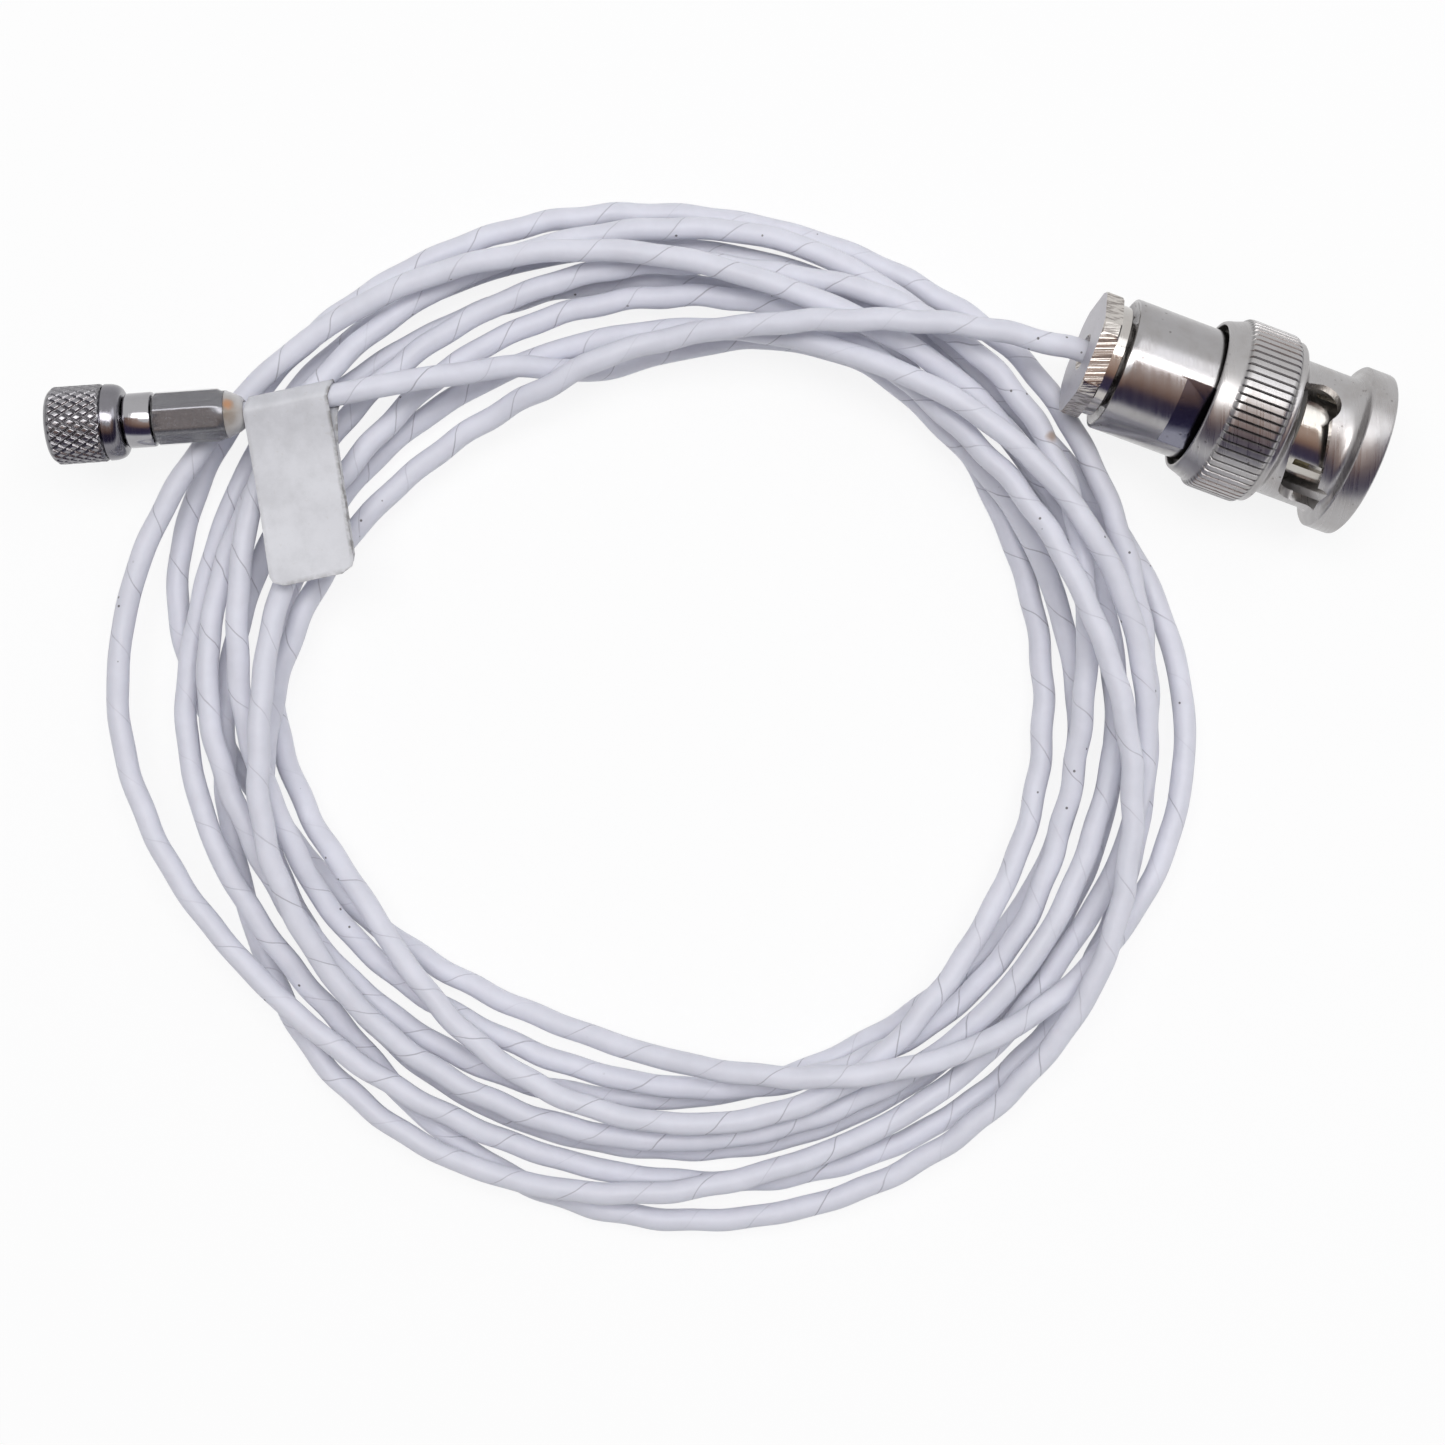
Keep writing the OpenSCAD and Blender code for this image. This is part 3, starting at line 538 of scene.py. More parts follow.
TAIL_BNC = [(27.3, 5, 9.4), (25.4, 5.4, 9.7), (22.8, 6, 10), (19.7, 6.4, 10.3), (16.5, 6.7, 10.6),
            (13.4, 6.8, 10.6), (8.4, 6.9, 10), (3.2, 6.7, 9), (-1.3, 6.3, 8), (-5.6, 5.5, 7),
            (-9.6, 4.4, 6.9), (-13.3, 2.6, 6.2)]
TAIL_PLUG = [(-0.8, 6.3, 1), (-5.4, 5.4, 1), (-9.4, 4.2, 1.1), (-11.4, 3.8, 2.3),
             (-13.6, 3.7, 3.8), (-16.5, 3.8, 5.2), (-19.4, 3.4, 6.3), (-22.5, 2.7, 7.6),
             (-26, 2.1, 8.6), (-30, 1.2, 9), (-33.5, 0.65, 9), (-37, -0.1, 9)]


def spline(points, step):
    """Centripetal Catmull-Rom through the points, in even steps, and its length."""
    p = [points[0]*2 - points[1]] + list(points) + [points[-1]*2 - points[-2]]
    fine = []
    for a, b, c, d in zip(p, p[1:], p[2:], p[3:]):
        t1 = (b - a).length**0.5
        t2 = t1 + (c - b).length**0.5
        t3 = t2 + (d - c).length**0.5
        for k in range(12):
            t = t1 + (t2 - t1)*k/12
            a1 = a*((t1 - t)/t1) + b*(t/t1)
            a2 = b*((t2 - t)/(t2 - t1)) + c*((t - t1)/(t2 - t1))
            a3 = c*((t3 - t)/(t3 - t2)) + d*((t - t2)/(t3 - t2))
            b1 = a1*((t2 - t)/t2) + a2*(t/t2)
            b2 = a2*((t3 - t)/(t3 - t1)) + a3*((t - t1)/(t3 - t1))
            fine.append(b1*((t2 - t)/(t2 - t1)) + b2*((t - t1)/(t2 - t1)))
    fine.append(Vector(points[-1]))
    total = sum((b - a).length for a, b in zip(fine, fine[1:]))
    count = int(total/step)
    out, want, run = [fine[0]], total/count, 0.0
    for a, b in zip(fine, fine[1:]):
        part = (b - a).length
        while want <= run + part and len(out) < count:
            out.append(a + (b - a)*((want - run)/part))
            want += total/count
        run += part
    out.append(fine[-1])
    return out, total


route = ([bnc_point(5.4), bnc_point(2), bnc_point(-1)]
         + [Vector(q) for q in TAIL_BNC + coil_points() + TAIL_PLUG]
         + [plug_point(-0.8), plug_point(1.2)])
path, cable_length = spline(route, 0.55)
rng = random.Random(7)
# Small kinks: the length of a wave, and its start to the side and upwards.
waves = [(rng.uniform(5, 9), rng.uniform(0, 6.28), rng.uniform(0, 6.28)) for _ in range(3)]


def make_cable(path, total, n=14):
    """Tube along the path; map along holds the run in millimetres and the share of a turn."""
    rings, verts, faces, runs = len(path), [], [], []
    run = 0.0
    for i, q in enumerate(path):
        a, b = path[max(i - 1, 0)], path[min(i + 1, rings - 1)]
        t = (b - a).normalized()
        u = (Vector((0, 0, 1)).cross(t)).normalized()
        w = t.cross(u)
        if i:
            run += (q - path[i - 1]).length
        free = min(1, run/12, (total - run)/12)
        side = sum(sin(2*pi*run/wave + a0) for wave, a0, _ in waves)*0.035*free
        lift = sum(sin(2*pi*run/wave*0.8 + a0) for wave, _, a0 in waves)*0.02*free
        c = q + u*side + w*lift
        c.z = max(c.z, CABLE_D/2)
        fat = 1 + 0.012*sin(2*pi*run/TAPE_PITCH)*free
        for k in range(n):
            g = 2*pi*k/n
            verts.append((c + (u*cos(g) + w*sin(g))*(CABLE_D/2*fat))*MM)
        runs.append(run)
    for i in range(rings - 1):
        for k in range(n):
            a, b = i*n + k, i*n + (k + 1) % n
            faces.append((a, b, b + n, a + n))
    faces.append(tuple(range(n))[::-1])
    faces.append(tuple((rings - 1)*n + k for k in range(n)))
    ob = add_mesh("cable", verts, faces, True, 50)
    layer = ob.data.uv_layers.new(name="along")
    for poly in ob.data.polygons:
        if len(poly.vertices) != 4:
            continue
        ks = [v % n for v in poly.vertices]
        wrap = max(ks) - min(ks) > 1
        for li, v, k in zip(poly.loop_indices, poly.vertices, ks):
            layer.data[li].uv = (runs[v//n], (n if wrap and k == 0 else k)/n)
    return ob


cable = make_cable(path, cable_length)
dress(cable, jacket)
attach(cable, "cable")
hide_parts("cable_coil", "cable_tail_bnc", "cable_tail_plug")


# ---------------------------------------------------------------- the flag label
def make_label():
    """One strip: a back layer up to the cable, round it, and a front layer that slopes off it."""
    at, turn = Vector((-35.55, 0.17, 9)), 12
    r, width, length, corner, film_t = CABLE_D/2 + 0.2, 7.05, 14.6, 1.1, 0.14
    short = 0.35                    # the back layer's free end lies this much further in
    half_gap = 0.11                 # each layer's distance from the middle of the flag
    from_w, to_w = -158, 100        # where the strip meets and leaves the cable, in degrees
    slope_len = 6.2
    back, wrap, front = 25, 25, 32
    line = []                       # (y, z) along the strip
    for i in range(back):
        y = -length + short + i*(length - short - r - 0.5)/(back - 1)
        line.append((y, -half_gap - 0.05*sin(pi*i/(back - 1))))
    for i in range(wrap):
        w = rad(from_w + i*(to_w - from_w)/(wrap - 1))
        line.append((r*cos(w), r*sin(w)))
    top = r*sin(rad(to_w))
    for i in range(1, front + 1):
        y = -0.2 - i*(length - 0.2)/front
        slope = max(0.0, 1 + (y + 0.2)/slope_len)
        line.append((y, half_gap + (top - half_gap)*slope**1.5 + 0.04*sin(pi*i/front)))
    cols, total = 20, len(line)
    where = (Matrix.Translation(at*MM) @ Matrix.Rotation(rad(turn), 4, "Z")
             @ Matrix.Scale(MM, 4))
    verts, faces, rim = [], [], []
    for i, (y, z) in enumerate(line):
        end = abs(y + length) if i > total/2 else abs(y + length - short)
        cut_in = 0.0                # rounded corners at both free ends
        if y < 0 and end < corner:
            cut_in = corner - math.sqrt(max(0, corner**2 - (corner - end)**2))
        skew = 0.0                  # the fold runs a little askew round the cable
        if i < back:
            skew = 0.12 + (0.5*max(0.0, 1 + y/4) if y < 0 else 0)
        elif i < back + wrap:
            skew = 0.6*min(1.0, (1 - (i - back)/(wrap - 1))/0.25)
        lift = 0.35*(max(0, -y)/length)**2
        for k in range(cols + 1):
            x = (k/cols - 0.5)*(width - 2*cut_in)
            x += skew - 0.1 - 0.056*max(0, -y)
            ripple = 0.05*sin(y*0.7 + x*0.5) + 0.04*(x/3.5)**2
            verts.append(where @ Vector((x, y, z + lift + ripple*max(0, min(1, -y/3)))))
            # the right edge is dirtiest, then the two ends, then the left edge
            rim.append(1.0 if k == cols else 0.6 if i in (0, total - 1)
                       else 0.3 if k == 0 else 0.0)
    for i in range(total - 1):
        for k in range(cols):
            a = i*(cols + 1) + k
            faces.append((a, a + 1, a + cols + 2, a + cols + 1))
    ob = add_mesh("label", verts, faces)
    put_layer(ob, "rim", rim)
    modify(ob, "SOLIDIFY", thickness=film_t*MM, offset=0)
    apply_all(ob)
    ob.data.set_sharp_from_angle(angle=rad(50))
    return ob


label = make_label()
dress(label, film)
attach(label, "cable")
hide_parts("flag_label")


# ---------------------------------------------------------------- BNC plug
# Stations along the plug, by the source's names: A is a piece's rear end and B its front end.
SEAT = 0.05
HEX_T = 1.5
BARREL_A = HEX_T + 1.2
BARREL_B = BARREL_A + 8.05
SLEEVE_A = BARREL_B - 0.6
SLEEVE_B = SLEEVE_A + 14.6
LIP_A, LIP_B = BARREL_B + SEAT, BARREL_B + 1.15
WASHER_T, WAVE_T, TRAVEL = 0.4, 0.45, 1.0
FLANGE_A = LIP_B + SEAT + WASHER_T + SEAT + WAVE_T + TRAVEL + SEAT
FLANGE_B = FLANGE_A + 0.8
CAVITY_B = FLANGE_B + 1.85
BODY_B = CAVITY_B - 0.25
KNURL_A = SLEEVE_A + 1.9
KNURL_B = KNURL_A + 4.1
RIBS = 68
LOCK = SLEEVE_B - 5.9
ENTRY = LOCK + 1.35
LOCK_TURN, BAYONET_TURN = -20.5, 84
SLOT_HALF, HOLE_R, ENTRY_HALF = 1.48, 1.62, 1.35
CUT_FROM, CUT_TO = 3.5, 9.0     # radii between which the slots are cut
BARREL_R, WAIST_R, CAVITY_R = 11.1/2, 5.75, 5.75
SHOULDER = 9.9/2 - 0.35
FLAT_DEEP, FLAT_TURN, FLAT_LEN = 0.84, 33, 3


def cut(ob, *cutters):
    """Take the cutters out of the object, and leave a clean closed mesh."""
    for c in cutters:
        modify(ob, "BOOLEAN", operation="DIFFERENCE", solver="EXACT", object=c)
    apply_all(ob)
    for c in cutters:
        bpy.data.objects.remove(c)
    bm = bmesh.new()
    bm.from_mesh(ob.data)
    bmesh.ops.remove_doubles(bm, verts=bm.verts, dist=0.001*MM)
    bmesh.ops.dissolve_degenerate(bm, dist=0.001*MM, edges=bm.edges)
    bmesh.ops.triangulate(bm, faces=bm.faces)
    # Two faces on the same corners enclose nothing, so both go.
    found, double = {}, []
    for face in bm.faces:
        corners = frozenset(face.verts)
        if corners in found:
            double += [face, found[corners]]
        found[corners] = face
    bmesh.ops.delete(bm, geom=double, context="FACES_ONLY")
    bm.to_mesh(ob.data)
    bm.free()
    ob.data.set_sharp_from_angle(angle=rad(38))
    return ob


def box_cutter(name, where, lo, hi):
    x, y, z = zip(lo, hi)
    verts = [where @ Vector((x[i], y[j], z[k])) for i in (0, 1) for j in (0, 1) for k in (0, 1)]
    faces = [(0, 1, 3, 2), (4, 6, 7, 5), (0, 4, 5, 1), (2, 3, 7, 6), (0, 2, 6, 4), (1, 5, 7, 3)]
    return add_mesh(name, verts, faces, False)


def prism(name, verts):
    """A closed prism from one loop of points followed by the same loop moved."""
    m = len(verts)//2
    faces = [(i, (i + 1) % m, m + (i + 1) % m, m + i) for i in range(m)]
    faces += [tuple(range(m))[::-1], tuple(range(m, 2*m))]
    return add_mesh(name, verts, faces, False)


def round_cutter(name, where, r, n=48):
    return prism(name, [where @ Vector((r*cos(2*pi*i/n), r*sin(2*pi*i/n), z))
                        for z in (CUT_FROM, CUT_TO) for i in range(n)])


def slot_cutter(turn0, pts, half):
    """A slot of even width with round ends along (station, degrees) points."""
    flat = [(s, rad(a)*WAIST_R) for s, a in pts]
    left, right = [], []
    for i, (s, t) in enumerate(flat):
        a, b = flat[max(i - 1, 0)], flat[min(i + 1, len(flat) - 1)]
        d = math.hypot(b[0] - a[0], b[1] - a[1])
        nx, nt = -(b[1] - a[1])/d, (b[0] - a[0])/d
        left.append((s + nx*half, t + nt*half))
        right.append((s - nx*half, t - nt*half))

    def round_end(c, p):
        a0 = math.atan2(p[1] - c[1], p[0] - c[0])
        return [(c[0] + half*cos(a0 - pi*k/14), c[1] + half*sin(a0 - pi*k/14))
                for k in range(1, 14)]

    loop = left + round_end(flat[-1], left[-1]) + right[::-1] + round_end(flat[0], right[0])
    verts = []
    for r in (CUT_FROM, CUT_TO):
        for s, t in loop:
            w = t/WAIST_R + rad(turn0)
            verts.append(BNC @ Vector((s, -r*sin(w), r*cos(w))))
    ob = prism("slot", verts)
    bm = bmesh.new()
    bm.from_mesh(ob.data)
    bmesh.ops.recalc_face_normals(bm, faces=bm.faces)
    bm.to_mesh(ob.data)
    bm.free()
    return ob


def sleeve_shape(r, s, w):
    """Straight ribs with rounded ends in the knurled band."""
    if r > 6.88 and KNURL_A - 0.4 < s < KNURL_B + 0.3:
        x = (w*RIBS/(2*pi)) % 1 - 0.5
        across = min(1.0, (0.5 - abs(x))/0.15)
        mid, half = (KNURL_A + KNURL_B)/2 - 0.1, (KNURL_B - KNURL_A)/2 + 0.2
        along = max(0.0, 1 - (abs(s - mid)/half)**16)
        return r + along*(0.13 + 0.22*across), s
    return r, s


def make_sleeve():
    """Coupling sleeve: lip, ribbed band, waist with two bayonet slots, and the rim."""
    r = 14.5/2 - 0.35
    rim = 13.9/2
    outer = [(6.05, SLEEVE_A + 0.08), (6.1, SLEEVE_A), (6.26, SLEEVE_A), (6.37, SLEEVE_A + 0.06),
             (6.44, SLEEVE_A + 0.2), (6.52, SLEEVE_A + 0.45), (6.62, SLEEVE_A + 0.8),
             (6.75, SLEEVE_A + 1.15), (6.86, SLEEVE_A + 1.45)]
    k, a = 30, KNURL_A - 0.35
    outer += [(r, a + (KNURL_B + 0.2 - a)*i/k) for i in range(k + 1)]
    outer += [(r, KNURL_B + 0.32), (r, KNURL_B + 0.5), (r - 0.03, KNURL_B + 0.6),
              (6.76, KNURL_B + 0.72), (6.6, KNURL_B + 0.8), (6.3, KNURL_B + 0.93),
              (6.02, KNURL_B + 1.08), (5.86, KNURL_B + 1.22), (5.78, KNURL_B + 1.36),
              (WAIST_R, KNURL_B + 1.55)]
    outer += finer([(WAIST_R, KNURL_B + 2.4), (WAIST_R, SLEEVE_B - 3.1)], False, 0.5)
    outer += [(5.8, SLEEVE_B - 2.85), (5.95, SLEEVE_B - 2.6), (6.2, SLEEVE_B - 2.42),
              (6.6, SLEEVE_B - 2.3), (6.8, SLEEVE_B - 2.26), (rim, SLEEVE_B - 2.12),
              (rim, SLEEVE_B - 1.6), (rim, SLEEVE_B - 0.3), (6.9, SLEEVE_B - 0.12),
              (6.76, SLEEVE_B - 0.02), (6.6, SLEEVE_B), (5.3, SLEEVE_B), (5.1, SLEEVE_B - 0.08),
              (4.95, SLEEVE_B - 0.25), (4.95, SLEEVE_B - 2), (4.95, CAVITY_B),
              (CAVITY_R, CAVITY_B), (CAVITY_R, LIP_B), (SHOULDER + 0.1, LIP_B),
              (SHOULDER + 0.1, LIP_A), (6.05, LIP_A)]
    ob = lathe("bnc_sleeve", BNC, outer, 12*RIBS, sleeve_shape)
    cutters = []
    for half in (0, 180):
        pts = [(LOCK - 0.6 + (ENTRY - LOCK + 0.5)*i/24, LOCK_TURN + BAYONET_TURN*i/24)
               for i in range(25)]
        cutters.append(slot_cutter(half, pts, SLOT_HALF))
        way = BNC @ Matrix.Rotation(rad(half + LOCK_TURN), 4, "X")
        cutters.append(round_cutter("hole", way @ Matrix.Translation((LOCK, 0, 0)), HOLE_R))
        way = BNC @ Matrix.Rotation(rad(half + LOCK_TURN + BAYONET_TURN), 4, "X")
        cutters.append(box_cutter("entry", way, (ENTRY, -ENTRY_HALF, CUT_FROM),
                                  (ENTRY + 9, ENTRY_HALF, 5.9)))
    cut(ob, *cutters)

    def depth(x, d):
        if KNURL_A - 0.3 < x < KNURL_B + 0.1 and d > 6.5:
            return max(0.0, min(1.0, (7.2 - d)/0.15))
        return 0.0
    groove_layer(ob, BNC, depth)
    return ob


def sleeve_slot(q):
    """1 inside the rear opening, which gets a nearly black painted shade."""
    inside = math.hypot(q.y, q.z) < 6.07
    return 1 if inside and SLEEVE_A + 0.1 < q.x < LIP_B + 0.1 else 0


sleeve = make_sleeve()
dress(sleeve, nickel_knurl, nickel_painted_shade)
paint(sleeve, BNC, sleeve_slot)
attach(sleeve, "bnc_coupling")
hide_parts("bnc_coupling_sleeve")


def make_barrel():
    """Body: barrel with two wrench flats, and the flange that the sleeve pulls against."""
    r = BARREL_R
    clamp, bore = r - 1.9, 1.3/2 + 0.05
    prof = [(clamp, BARREL_A + 0.7), (r - 0.95, BARREL_A + 0.7), (r - 0.25, BARREL_A),
            (r - 0.12, BARREL_A), (r - 0.03, BARREL_A + 0.04), (r, BARREL_A + 0.14)]
    prof += finer([(r, BARREL_A + 0.6), (r, BARREL_B - 0.3)], False, 0.6)
    prof += [(r - 0.05, BARREL_B - 0.1), (r - 0.18, BARREL_B), (SHOULDER, BARREL_B),
             (SHOULDER, FLANGE_A), (5.65, FLANGE_A), (5.65, FLANGE_B), (SHOULDER, FLANGE_B),
             (SHOULDER, BODY_B), (3.6, BODY_B), (3.6, BARREL_A + 7.95), (bore, BARREL_A + 7.95),
             (bore, BARREL_A + 6.6), (clamp, BARREL_A + 6.6)]
    ob = lathe("bnc_barrel", BNC, prof, 192)
    flats = []
    for half in (0, 180):
        way = BNC @ Matrix.Rotation(rad(FLAT_TURN + half), 4, "X")
        flats.append(box_cutter("flat", way, (BARREL_B - FLAT_LEN, -6, r - FLAT_DEEP),
                                (BARREL_B + 0.02, 6, r + 2)))
    return cut(ob, *flats)


def barrel_slot(q):
    """1 on the two wrench flats."""
    up = abs(q.z*cos(rad(FLAT_TURN)) - q.y*sin(rad(FLAT_TURN)))
    on_flat = abs(up - (BARREL_R - FLAT_DEEP)) < 0.03 and q.x > BARREL_B - FLAT_LEN - 0.02
    return 1 if on_flat and math.hypot(q.y, q.z) > SHOULDER else 0


barrel = make_barrel()
dress(barrel, nickel, flat_painted_reflection)
paint(barrel, BNC, barrel_slot)
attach(barrel, "cable")
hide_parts("bnc_body")


def make_clamp_nut():
    """Hexagon with turned corners, a polished neck and the clamping shank."""
    af, t, hex_turn = 9.53, HEX_T, 11
    corner = af/2 + 0.45

    def shape(q, s, w):
        if s < t + 0.01 and q > af/2 - 0.3:
            g = (w - rad(90 + hex_turn) + pi/6) % (pi/3) - pi/6
            edge = af/2/cos(g)
            # points past a flat stay a hair apart, so that no face collapses
            return (q if q < edge else edge + 0.01*(q - edge)), s
        return q, s
    prof = [(1.1, 0.5), (1.55, 0), (3.2, 0), (af/2 - 0.35, 0), (af/2, 0), (corner - 0.12, 0),
            (corner, 0.12), (corner, 0.5), (corner, t - 0.5), (corner, t - 0.12),
            (corner - 0.12, t), (af/2 - 0.12, t), (af/2 - 0.1, t + 0.02),
            (af/2 - 0.1, BARREL_A - 0.36), (af/2 - 0.16, BARREL_A - 0.3),
            (4.05, BARREL_A - 0.3), (4.05, BARREL_A - 0.05), (3.6, BARREL_A - 0.05),
            (3.6, BARREL_A + 3.8), (1.1, BARREL_A + 3.8)]
    return lathe("bnc_nut", BNC, prof, 360, shape, 30)


nut = make_clamp_nut()
dress(nut, nut_face, facet, neck_bright)
paint(nut, BNC, lambda q: 2 if q.x > HEX_T else 1 if q.x > 0.02 else 0)
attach(nut, "cable")
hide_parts("bnc_clamp_nut")


def make_shell():
    """The springy inner shell with its slits, seen through the bayonet slots."""
    r, w, end = 8.1/2, 0.45, SLEEVE_B - 1.2
    prof = [(r - w, BODY_B + 0.05), (SHOULDER, BODY_B + 0.05), (SHOULDER, BODY_B + 0.45),
            (r + 0.25, BODY_B + 0.45), (r + 0.25, BODY_B + 1.6), (r, BODY_B + 1.85)]
    prof += finer([(r, BODY_B + 2.2), (r + 0.02, end - 0.5)], False, 0.7)
    prof += [(r - 0.05, end - 0.15), (r - 0.2, end), (r - w, end)]
    ob = lathe("bnc_shell", BNC, prof, 160)
    slits = []
    for k in range(4):
        way = BNC @ Matrix.Rotation(rad(45 + 90*k), 4, "X")
        slits.append(box_cutter("slit", way, (BODY_B + 2.6, -0.3, 2), (end + 2, 0.3, 6)))
    return cut(ob, *slits)


shell = make_shell()
dress(shell, nickel_inner)
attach(shell, "cable")
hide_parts("bnc_outer_contact")

# ---------------------------------------------------------------- 10-32 plug
CRIMP_A, CRIMP_B = 1.4, 7.3
COLLAR_A, COLLAR_B = 7.4, 9.75
NUT_A, NUT_B = 9.8, 15.9
NUT_KNURL_A = NUT_B - 4.5
WEB_T = 1.25


def make_plug_nut():
    """Coupling nut: plain ring, step, and a diamond knurl cut by two sets of helical grooves."""
    r, grooves, pitch, rows = 6.35/2, 27, 1.15, 96
    thread = 4.83/2
    a, knurl_b = NUT_KNURL_A, NUT_B - 0.3
    prof = [(1.7, NUT_A), (r - 0.78, NUT_A), (r - 0.6, NUT_A + 0.03), (r - 0.42, NUT_A + 0.13),
            (r - 0.27, NUT_A + 0.28), (r - 0.16, NUT_A + 0.5), (r - 0.09, NUT_A + 0.75),
            (r - 0.05, NUT_A + 1.05), (r - 0.04, NUT_A + 1.4), (r - 0.06, a - 0.5),
            (r - 0.12, a - 0.34), (r - 0.24, a - 0.24), (r - 0.34, a - 0.17),
            (r - 0.36, a - 0.02)]
    prof += [(r - 0.2, a + (knurl_b - a)*i/rows) for i in range(rows + 1)]
    prof += [(r - 0.32, NUT_B - 0.12), (r - 0.5, NUT_B), (2.65, NUT_B), (2.46, NUT_B - 0.15),
             (thread, NUT_B - 0.3), (thread, NUT_B - 2.1), (2.195, NUT_B - 2.1),
             (2.195, NUT_A + WEB_T), (1.7, NUT_A + WEB_T)]

    def shape(q, s, w):
        if q > r - 0.21 and a - 0.01 < s < knurl_b + 0.01:
            turn, along = w*grooves/(2*pi), (s - a)/pitch
            g1 = abs((turn + along) % 1 - 0.5)*2
            g2 = abs((turn - along) % 1 - 0.5)*2
            h = min(1, 2.3*min(1 - g1, 1 - g2))
            ends = min(1, (s - a)/0.25, (knurl_b - s)/0.2)
            return q + 0.03 + 0.17*h*max(0, ends), s
        return q, s
    ob = lathe("plug_nut_knurled", PLUG, prof, grooves*14, shape, 60)

    def depth(x, d):
        if a < x < NUT_B - 0.25 and d > 2.8:
            return max(0.0, min(1.0, (r - 0.02 - d)/0.2))
        return 0.0
    groove_layer(ob, PLUG, depth)
    return ob


plug_nut = make_plug_nut()
dress(plug_nut, steel_knurl, steel_ring_painted_reflection)
paint(plug_nut, PLUG, lambda q: 1 if q.x < NUT_KNURL_A else 0)
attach(plug_nut, "coupling_nut")
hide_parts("plug_nut")


def make_collar():
    """Plug body: polished collar, neck through the nut's web, and the head in front of it."""
    r, neck, head = 4.5/2, 1.6, 4.83/2 - 0.35
    ring_t, play = 0.35, 0.3
    head_a = NUT_A + WEB_T + SEAT + ring_t + play + SEAT
    head_b = head_a + 0.6
    prof = [(0.7, COLLAR_A), (r - 0.2, COLLAR_A), (r - 0.04, COLLAR_A + 0.06),
            (r, COLLAR_A + 0.2), (r, COLLAR_B - 0.35), (r - 0.06, COLLAR_B - 0.16),
            (r - 0.25, COLLAR_B), (neck, COLLAR_B), (neck, head_a), (head, head_a),
            (head, head_b), (1.25, head_b), (1.25, head_b + 0.75), (1.0, head_b + 0.75),
            (1.0, COLLAR_B + 0.4), (0.7, COLLAR_B + 0.4)]
    return lathe("plug_collar", PLUG, prof, 128)


collar = make_collar()
dress(collar, steel)
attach(collar, "cable")
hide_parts("plug_body")


CRIMP_HALF, CRIMP_TURN = 4.05/2, 19


def crimped(s, w):
    """Where the hexagonal crimp is, its flats' reach for a half width of 1; 0 elsewhere."""
    if not CRIMP_A + 0.5 < s < CRIMP_B - 0.07:
        return 0
    return 1/cos((w - rad(CRIMP_TURN) + pi/6) % (pi/3) - pi/6)


def make_ferrule():
    inset = 0.1                     # the ferrule lies this far under the tube's outside
    a, b, r = CRIMP_A, CRIMP_B, 2.2 - inset
    prof = [(0.72, a), (1.8, a), (1.93, a + 0.12), (1.93, a + 0.4), (r, a + 0.7), (r, b - 0.9),
            (r, b - 0.12), (r - 0.2, b), (0.72, b)]

    def shape(q, s, w):
        flat = crimped(s, w)
        if flat and q > 1.9 - inset:
            return min(r, (CRIMP_HALF - inset)*flat), s
        return q, s
    return lathe("plug_ferrule", PLUG, finer(prof, True, 0.5), 120, shape)


ferrule = make_ferrule()
dress(ferrule, crimp_metal)
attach(ferrule, "cable")
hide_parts("plug_crimp_sleeve")


def make_shrink():
    """Clear tube over the crimp, and its milky taper down to the cable."""
    a, b, wall = CRIMP_A, CRIMP_B, 0.08
    out = [(1.0, 0), (1.1, 0), (1.28, 0.12), (1.48, 0.4), (1.65, 0.75), (1.8, 1.1),
           (1.95, 1.45), (2.05, a + 0.45), (2.2, a + 0.7), (2.2, b - 0.9), (2.2, b - 0.15),
           (2.12, b)]
    ins = [(2.1, b), (2.12, b - 0.2), (2.12, a + 0.7), (1.98, a + 0.42), (1.94, a - 0.03),
           (1.6, 1.15), (1.1, 0.8), (1.0, 0.6)]

    def shape(q, s, w):
        flat = crimped(s, w)
        if flat and q > 2.15:
            return min(q, CRIMP_HALF*flat), s
        if flat and q > 2:
            return min(q, (CRIMP_HALF - wall)*flat), s
        return q, s
    return lathe("plug_shrink", PLUG, finer(out + ins, True, 0.5), 120, shape)


tube = make_shrink()
dress(tube, shrink, amber)
paint(tube, PLUG, lambda q: 1 if q.x < 1.38 else 0)
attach(tube, "cable")
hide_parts("plug_heat_shrink")

# ---------------------------------------------------------------- CAD nodes that stay
for name, mat in {
        "plug_retaining_ring": brass, "plug_gasket": rubber_dark, "plug_insulator": ptfe,
        "plug_contact_pin": gold, "plug_end_dielectric": ptfe, "plug_end_wire": silvered,
        "bnc_slip_washer": washer_metal, "bnc_clamp_gasket": rubber_dark,
        "bnc_braid_clamp": brass, "bnc_front_gasket": rubber_dark, "bnc_insulator": ptfe_aged,
        "bnc_centre_pin": gold, "bnc_end_dielectric": ptfe, "bnc_end_wire": silvered,
        "bnc_thrust_washer": washer_metal, "bnc_wave_washers": washer_metal}.items():
    dress_node(name, mat)

[tuple(q*MM) for q in path]


# ---------------------------------------------------------------- stage and light
def fresh_tree(owner):
    owner.use_nodes = True
    owner.node_tree.nodes.clear()
    return owner.node_tree


def wire(tree, kind, *sources, **values):
    """A new node whose inputs, in order, are the given sockets or values."""
    n = tree.nodes.new(kind)
    for k, v in values.items():
        setattr(n, k, v)
    for socket, v in zip(n.inputs, sources):
        if isinstance(v, bpy.types.NodeSocket):
            tree.links.new(v, socket)
        else:
            socket.default_value = v
    return n


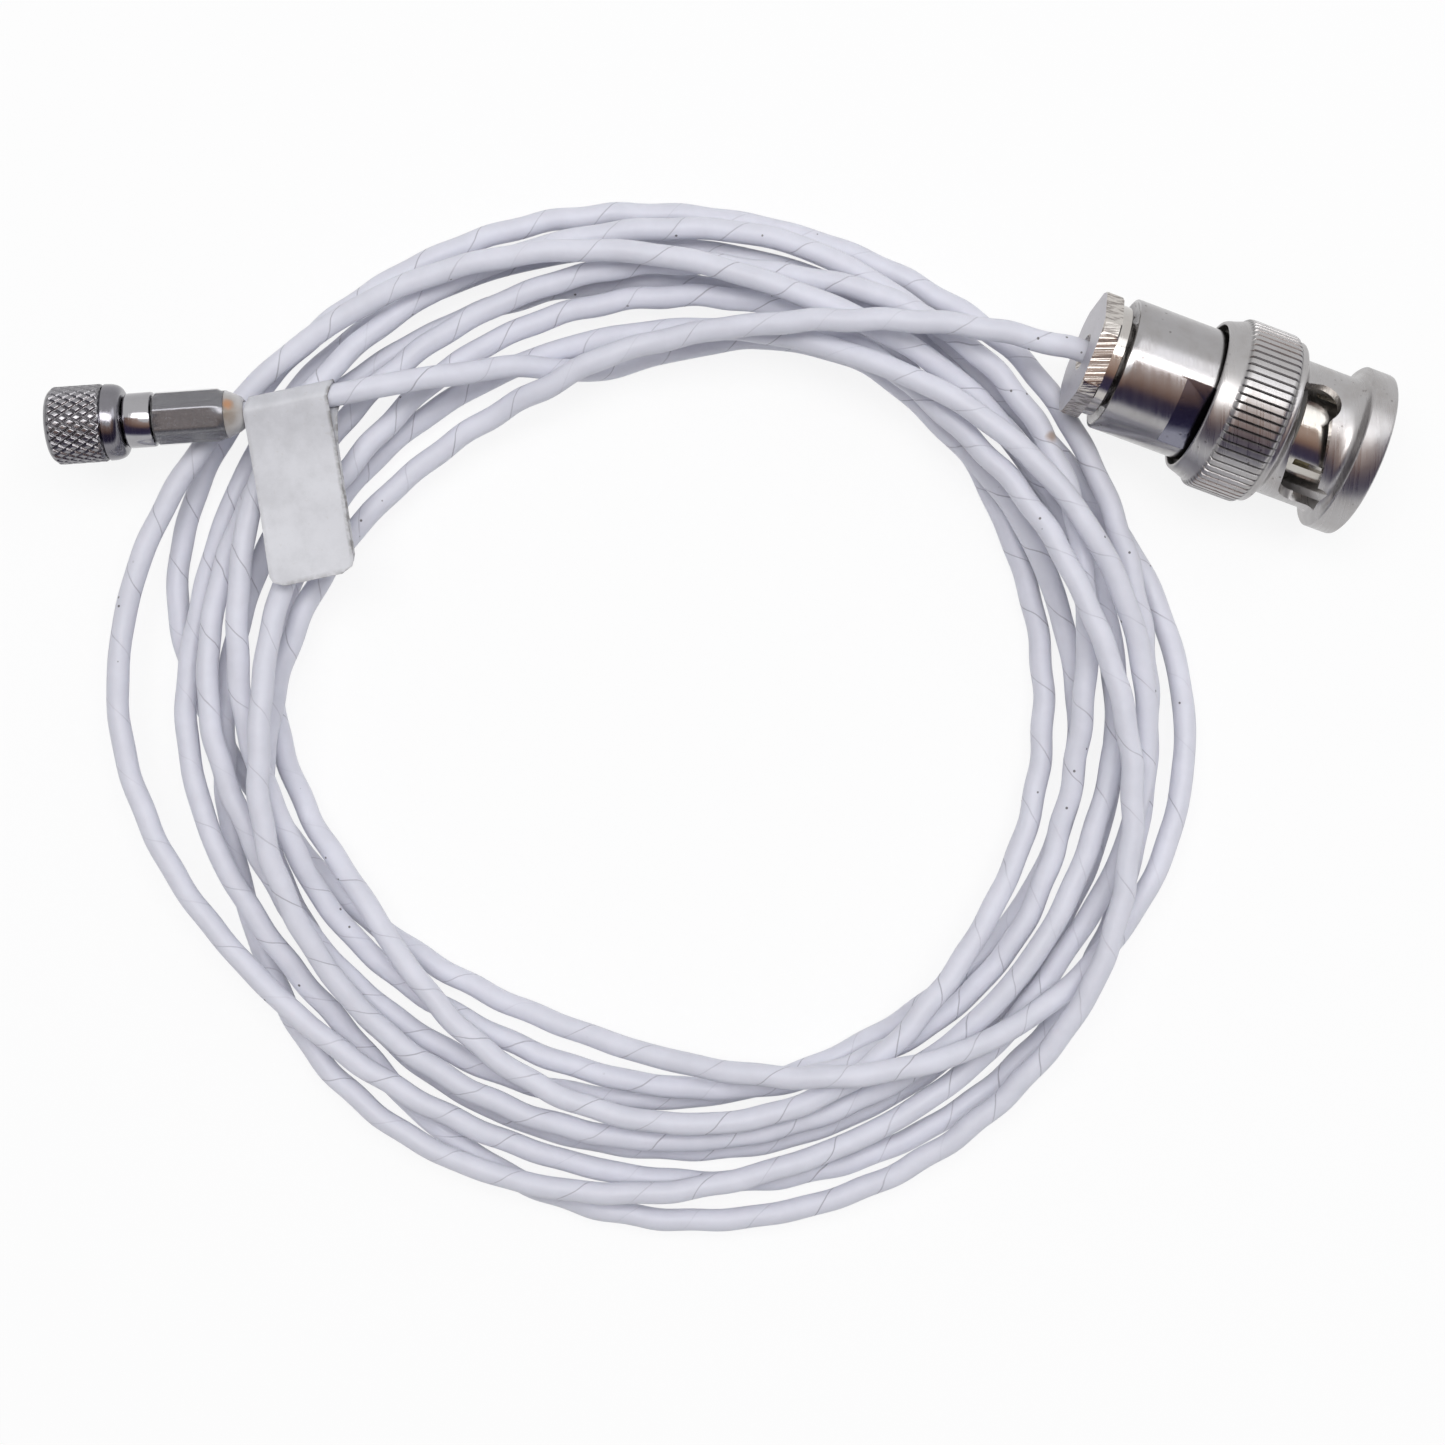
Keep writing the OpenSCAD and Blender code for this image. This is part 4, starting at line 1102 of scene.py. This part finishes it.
def seen(t):
    """1 for camera, glossy and transmission rays."""
    rays = wire(t, "ShaderNodeLightPath").outputs
    two = wire(t, "ShaderNodeMath", rays["Is Camera Ray"], rays["Is Glossy Ray"],
               operation="MAXIMUM")
    return wire(t, "ShaderNodeMath", two.outputs[0], rays["Is Transmission Ray"],
                operation="MAXIMUM").outputs[0]


def make_floor():
    """White floor that keeps the object's shadow."""
    half, z = 3, -0.0002
    ob = add_mesh("floor", [(-half, -half, z), (half, -half, z), (half, half, z), (-half, half, z)],
                  [(0, 1, 2, 3)], False)
    m = bpy.data.materials.new("floor_white")
    t = fresh_tree(m)
    lit = wire(t, "ShaderNodeBsdfDiffuse", (0.96, 0.96, 0.96, 1))
    white = wire(t, "ShaderNodeEmission", (1, 1, 1, 1))
    share = wire(t, "ShaderNodeMath", seen(t), 0.86, operation="MULTIPLY")
    both = wire(t, "ShaderNodeMixShader", share.outputs[0], lit.outputs[0], white.outputs[0])
    wire(t, "ShaderNodeOutputMaterial", both.outputs[0])
    ob.data.materials.append(m)


def make_world():
    """Soft even light; camera, glossy and transmission rays see it plain white."""
    world = bpy.data.worlds.new("studio")
    scene.world = world
    t = fresh_tree(world)
    light = wire(t, "ShaderNodeBackground", (0.95, 0.955, 1, 1), 0.34)
    backdrop = wire(t, "ShaderNodeBackground", (1, 1, 1, 1), 1.0)
    both = wire(t, "ShaderNodeMixShader", seen(t), light.outputs[0], backdrop.outputs[0])
    wire(t, "ShaderNodeOutputWorld", both.outputs[0])


def area(name, at, aim, size, power, colour):
    """Rectangular lamp at one point, turned to another."""
    lamp = bpy.data.lights.new(name, "AREA")
    lamp.shape = "RECTANGLE"
    lamp.size, lamp.size_y, lamp.energy, lamp.color = size[0], size[1], power, colour
    ob = bpy.data.objects.new(name, lamp)
    ob.location = at
    ob.rotation_euler = (Vector(aim) - Vector(at)).to_track_quat("-Z", "Y").to_euler()
    scene.collection.objects.link(ob)


def make_hood():
    """Studio hood that only reflections see: brown overhead, navy down to its foot in front."""
    wide, high, r, foot, top = 72, 24, 0.42, 16, 72
    behind = (15, 165)              # turns at which the hood is left open, in degrees
    verts, faces = [], []
    for i in range(wide):
        w = 2*pi*i/wide
        for j in range(high + 1):
            h = rad(foot + (90 - foot)*j/high)
            verts.append((r*cos(w)*cos(h), -0.02 + r*sin(w)*cos(h), r*sin(h)))
    for i in range(wide):
        for j in range(high):
            turn = 360*(i + 0.5)/wide
            if foot + (90 - foot)*j/high < top and not behind[0] <= turn <= behind[1]:
                a, b = i*(high + 1) + j, (i + 1) % wide*(high + 1) + j
                faces.append((a, b, b + 1, a + 1))
    ob = add_mesh("surround", verts, faces)
    m = bpy.data.materials.new("surround_dark")
    t = fresh_tree(m)
    xyz = wire(t, "ShaderNodeSeparateXYZ", wire(t, "ShaderNodeTexCoord").outputs["Object"])
    height = wire(t, "ShaderNodeMath", xyz.outputs[2], r, operation="DIVIDE")
    tones = wire(t, "ShaderNodeValToRGB", height.outputs[0])
    glow = wire(t, "ShaderNodeEmission", tones.outputs[0])
    wire(t, "ShaderNodeOutputMaterial", glow.outputs[0])
    ramp = tones.color_ramp
    ramp.elements[0].position, ramp.elements[0].color = 0.27, (0.75, 0.75, 0.8, 1)
    ramp.elements[1].position, ramp.elements[1].color = 0.42, (0.06, 0.052, 0.12, 1)
    for at, colour in ((0.74, (0.07, 0.055, 0.10, 1)), (0.85, (0.34, 0.21, 0.16, 1)),
                       (0.95, (0.60, 0.44, 0.37, 1))):
        ramp.elements.new(at).color = colour
    ob.data.materials.append(m)
    ob.visible_camera = ob.visible_diffuse = False
    ob.visible_shadow = ob.visible_transmission = False


make_floor()
make_world()
area("key", (0.01, 0.11, 0.69), (0, -0.01, 0), (0.64, 0.28), 3.0, (1, 0.99, 0.98))
area("fill", (0.45, 0.25, 0.5), (0, -0.02, 0), (0.35, 0.35), 0.5, (0.95, 0.97, 1))
make_hood()

scene.view_settings.view_transform = "Standard"
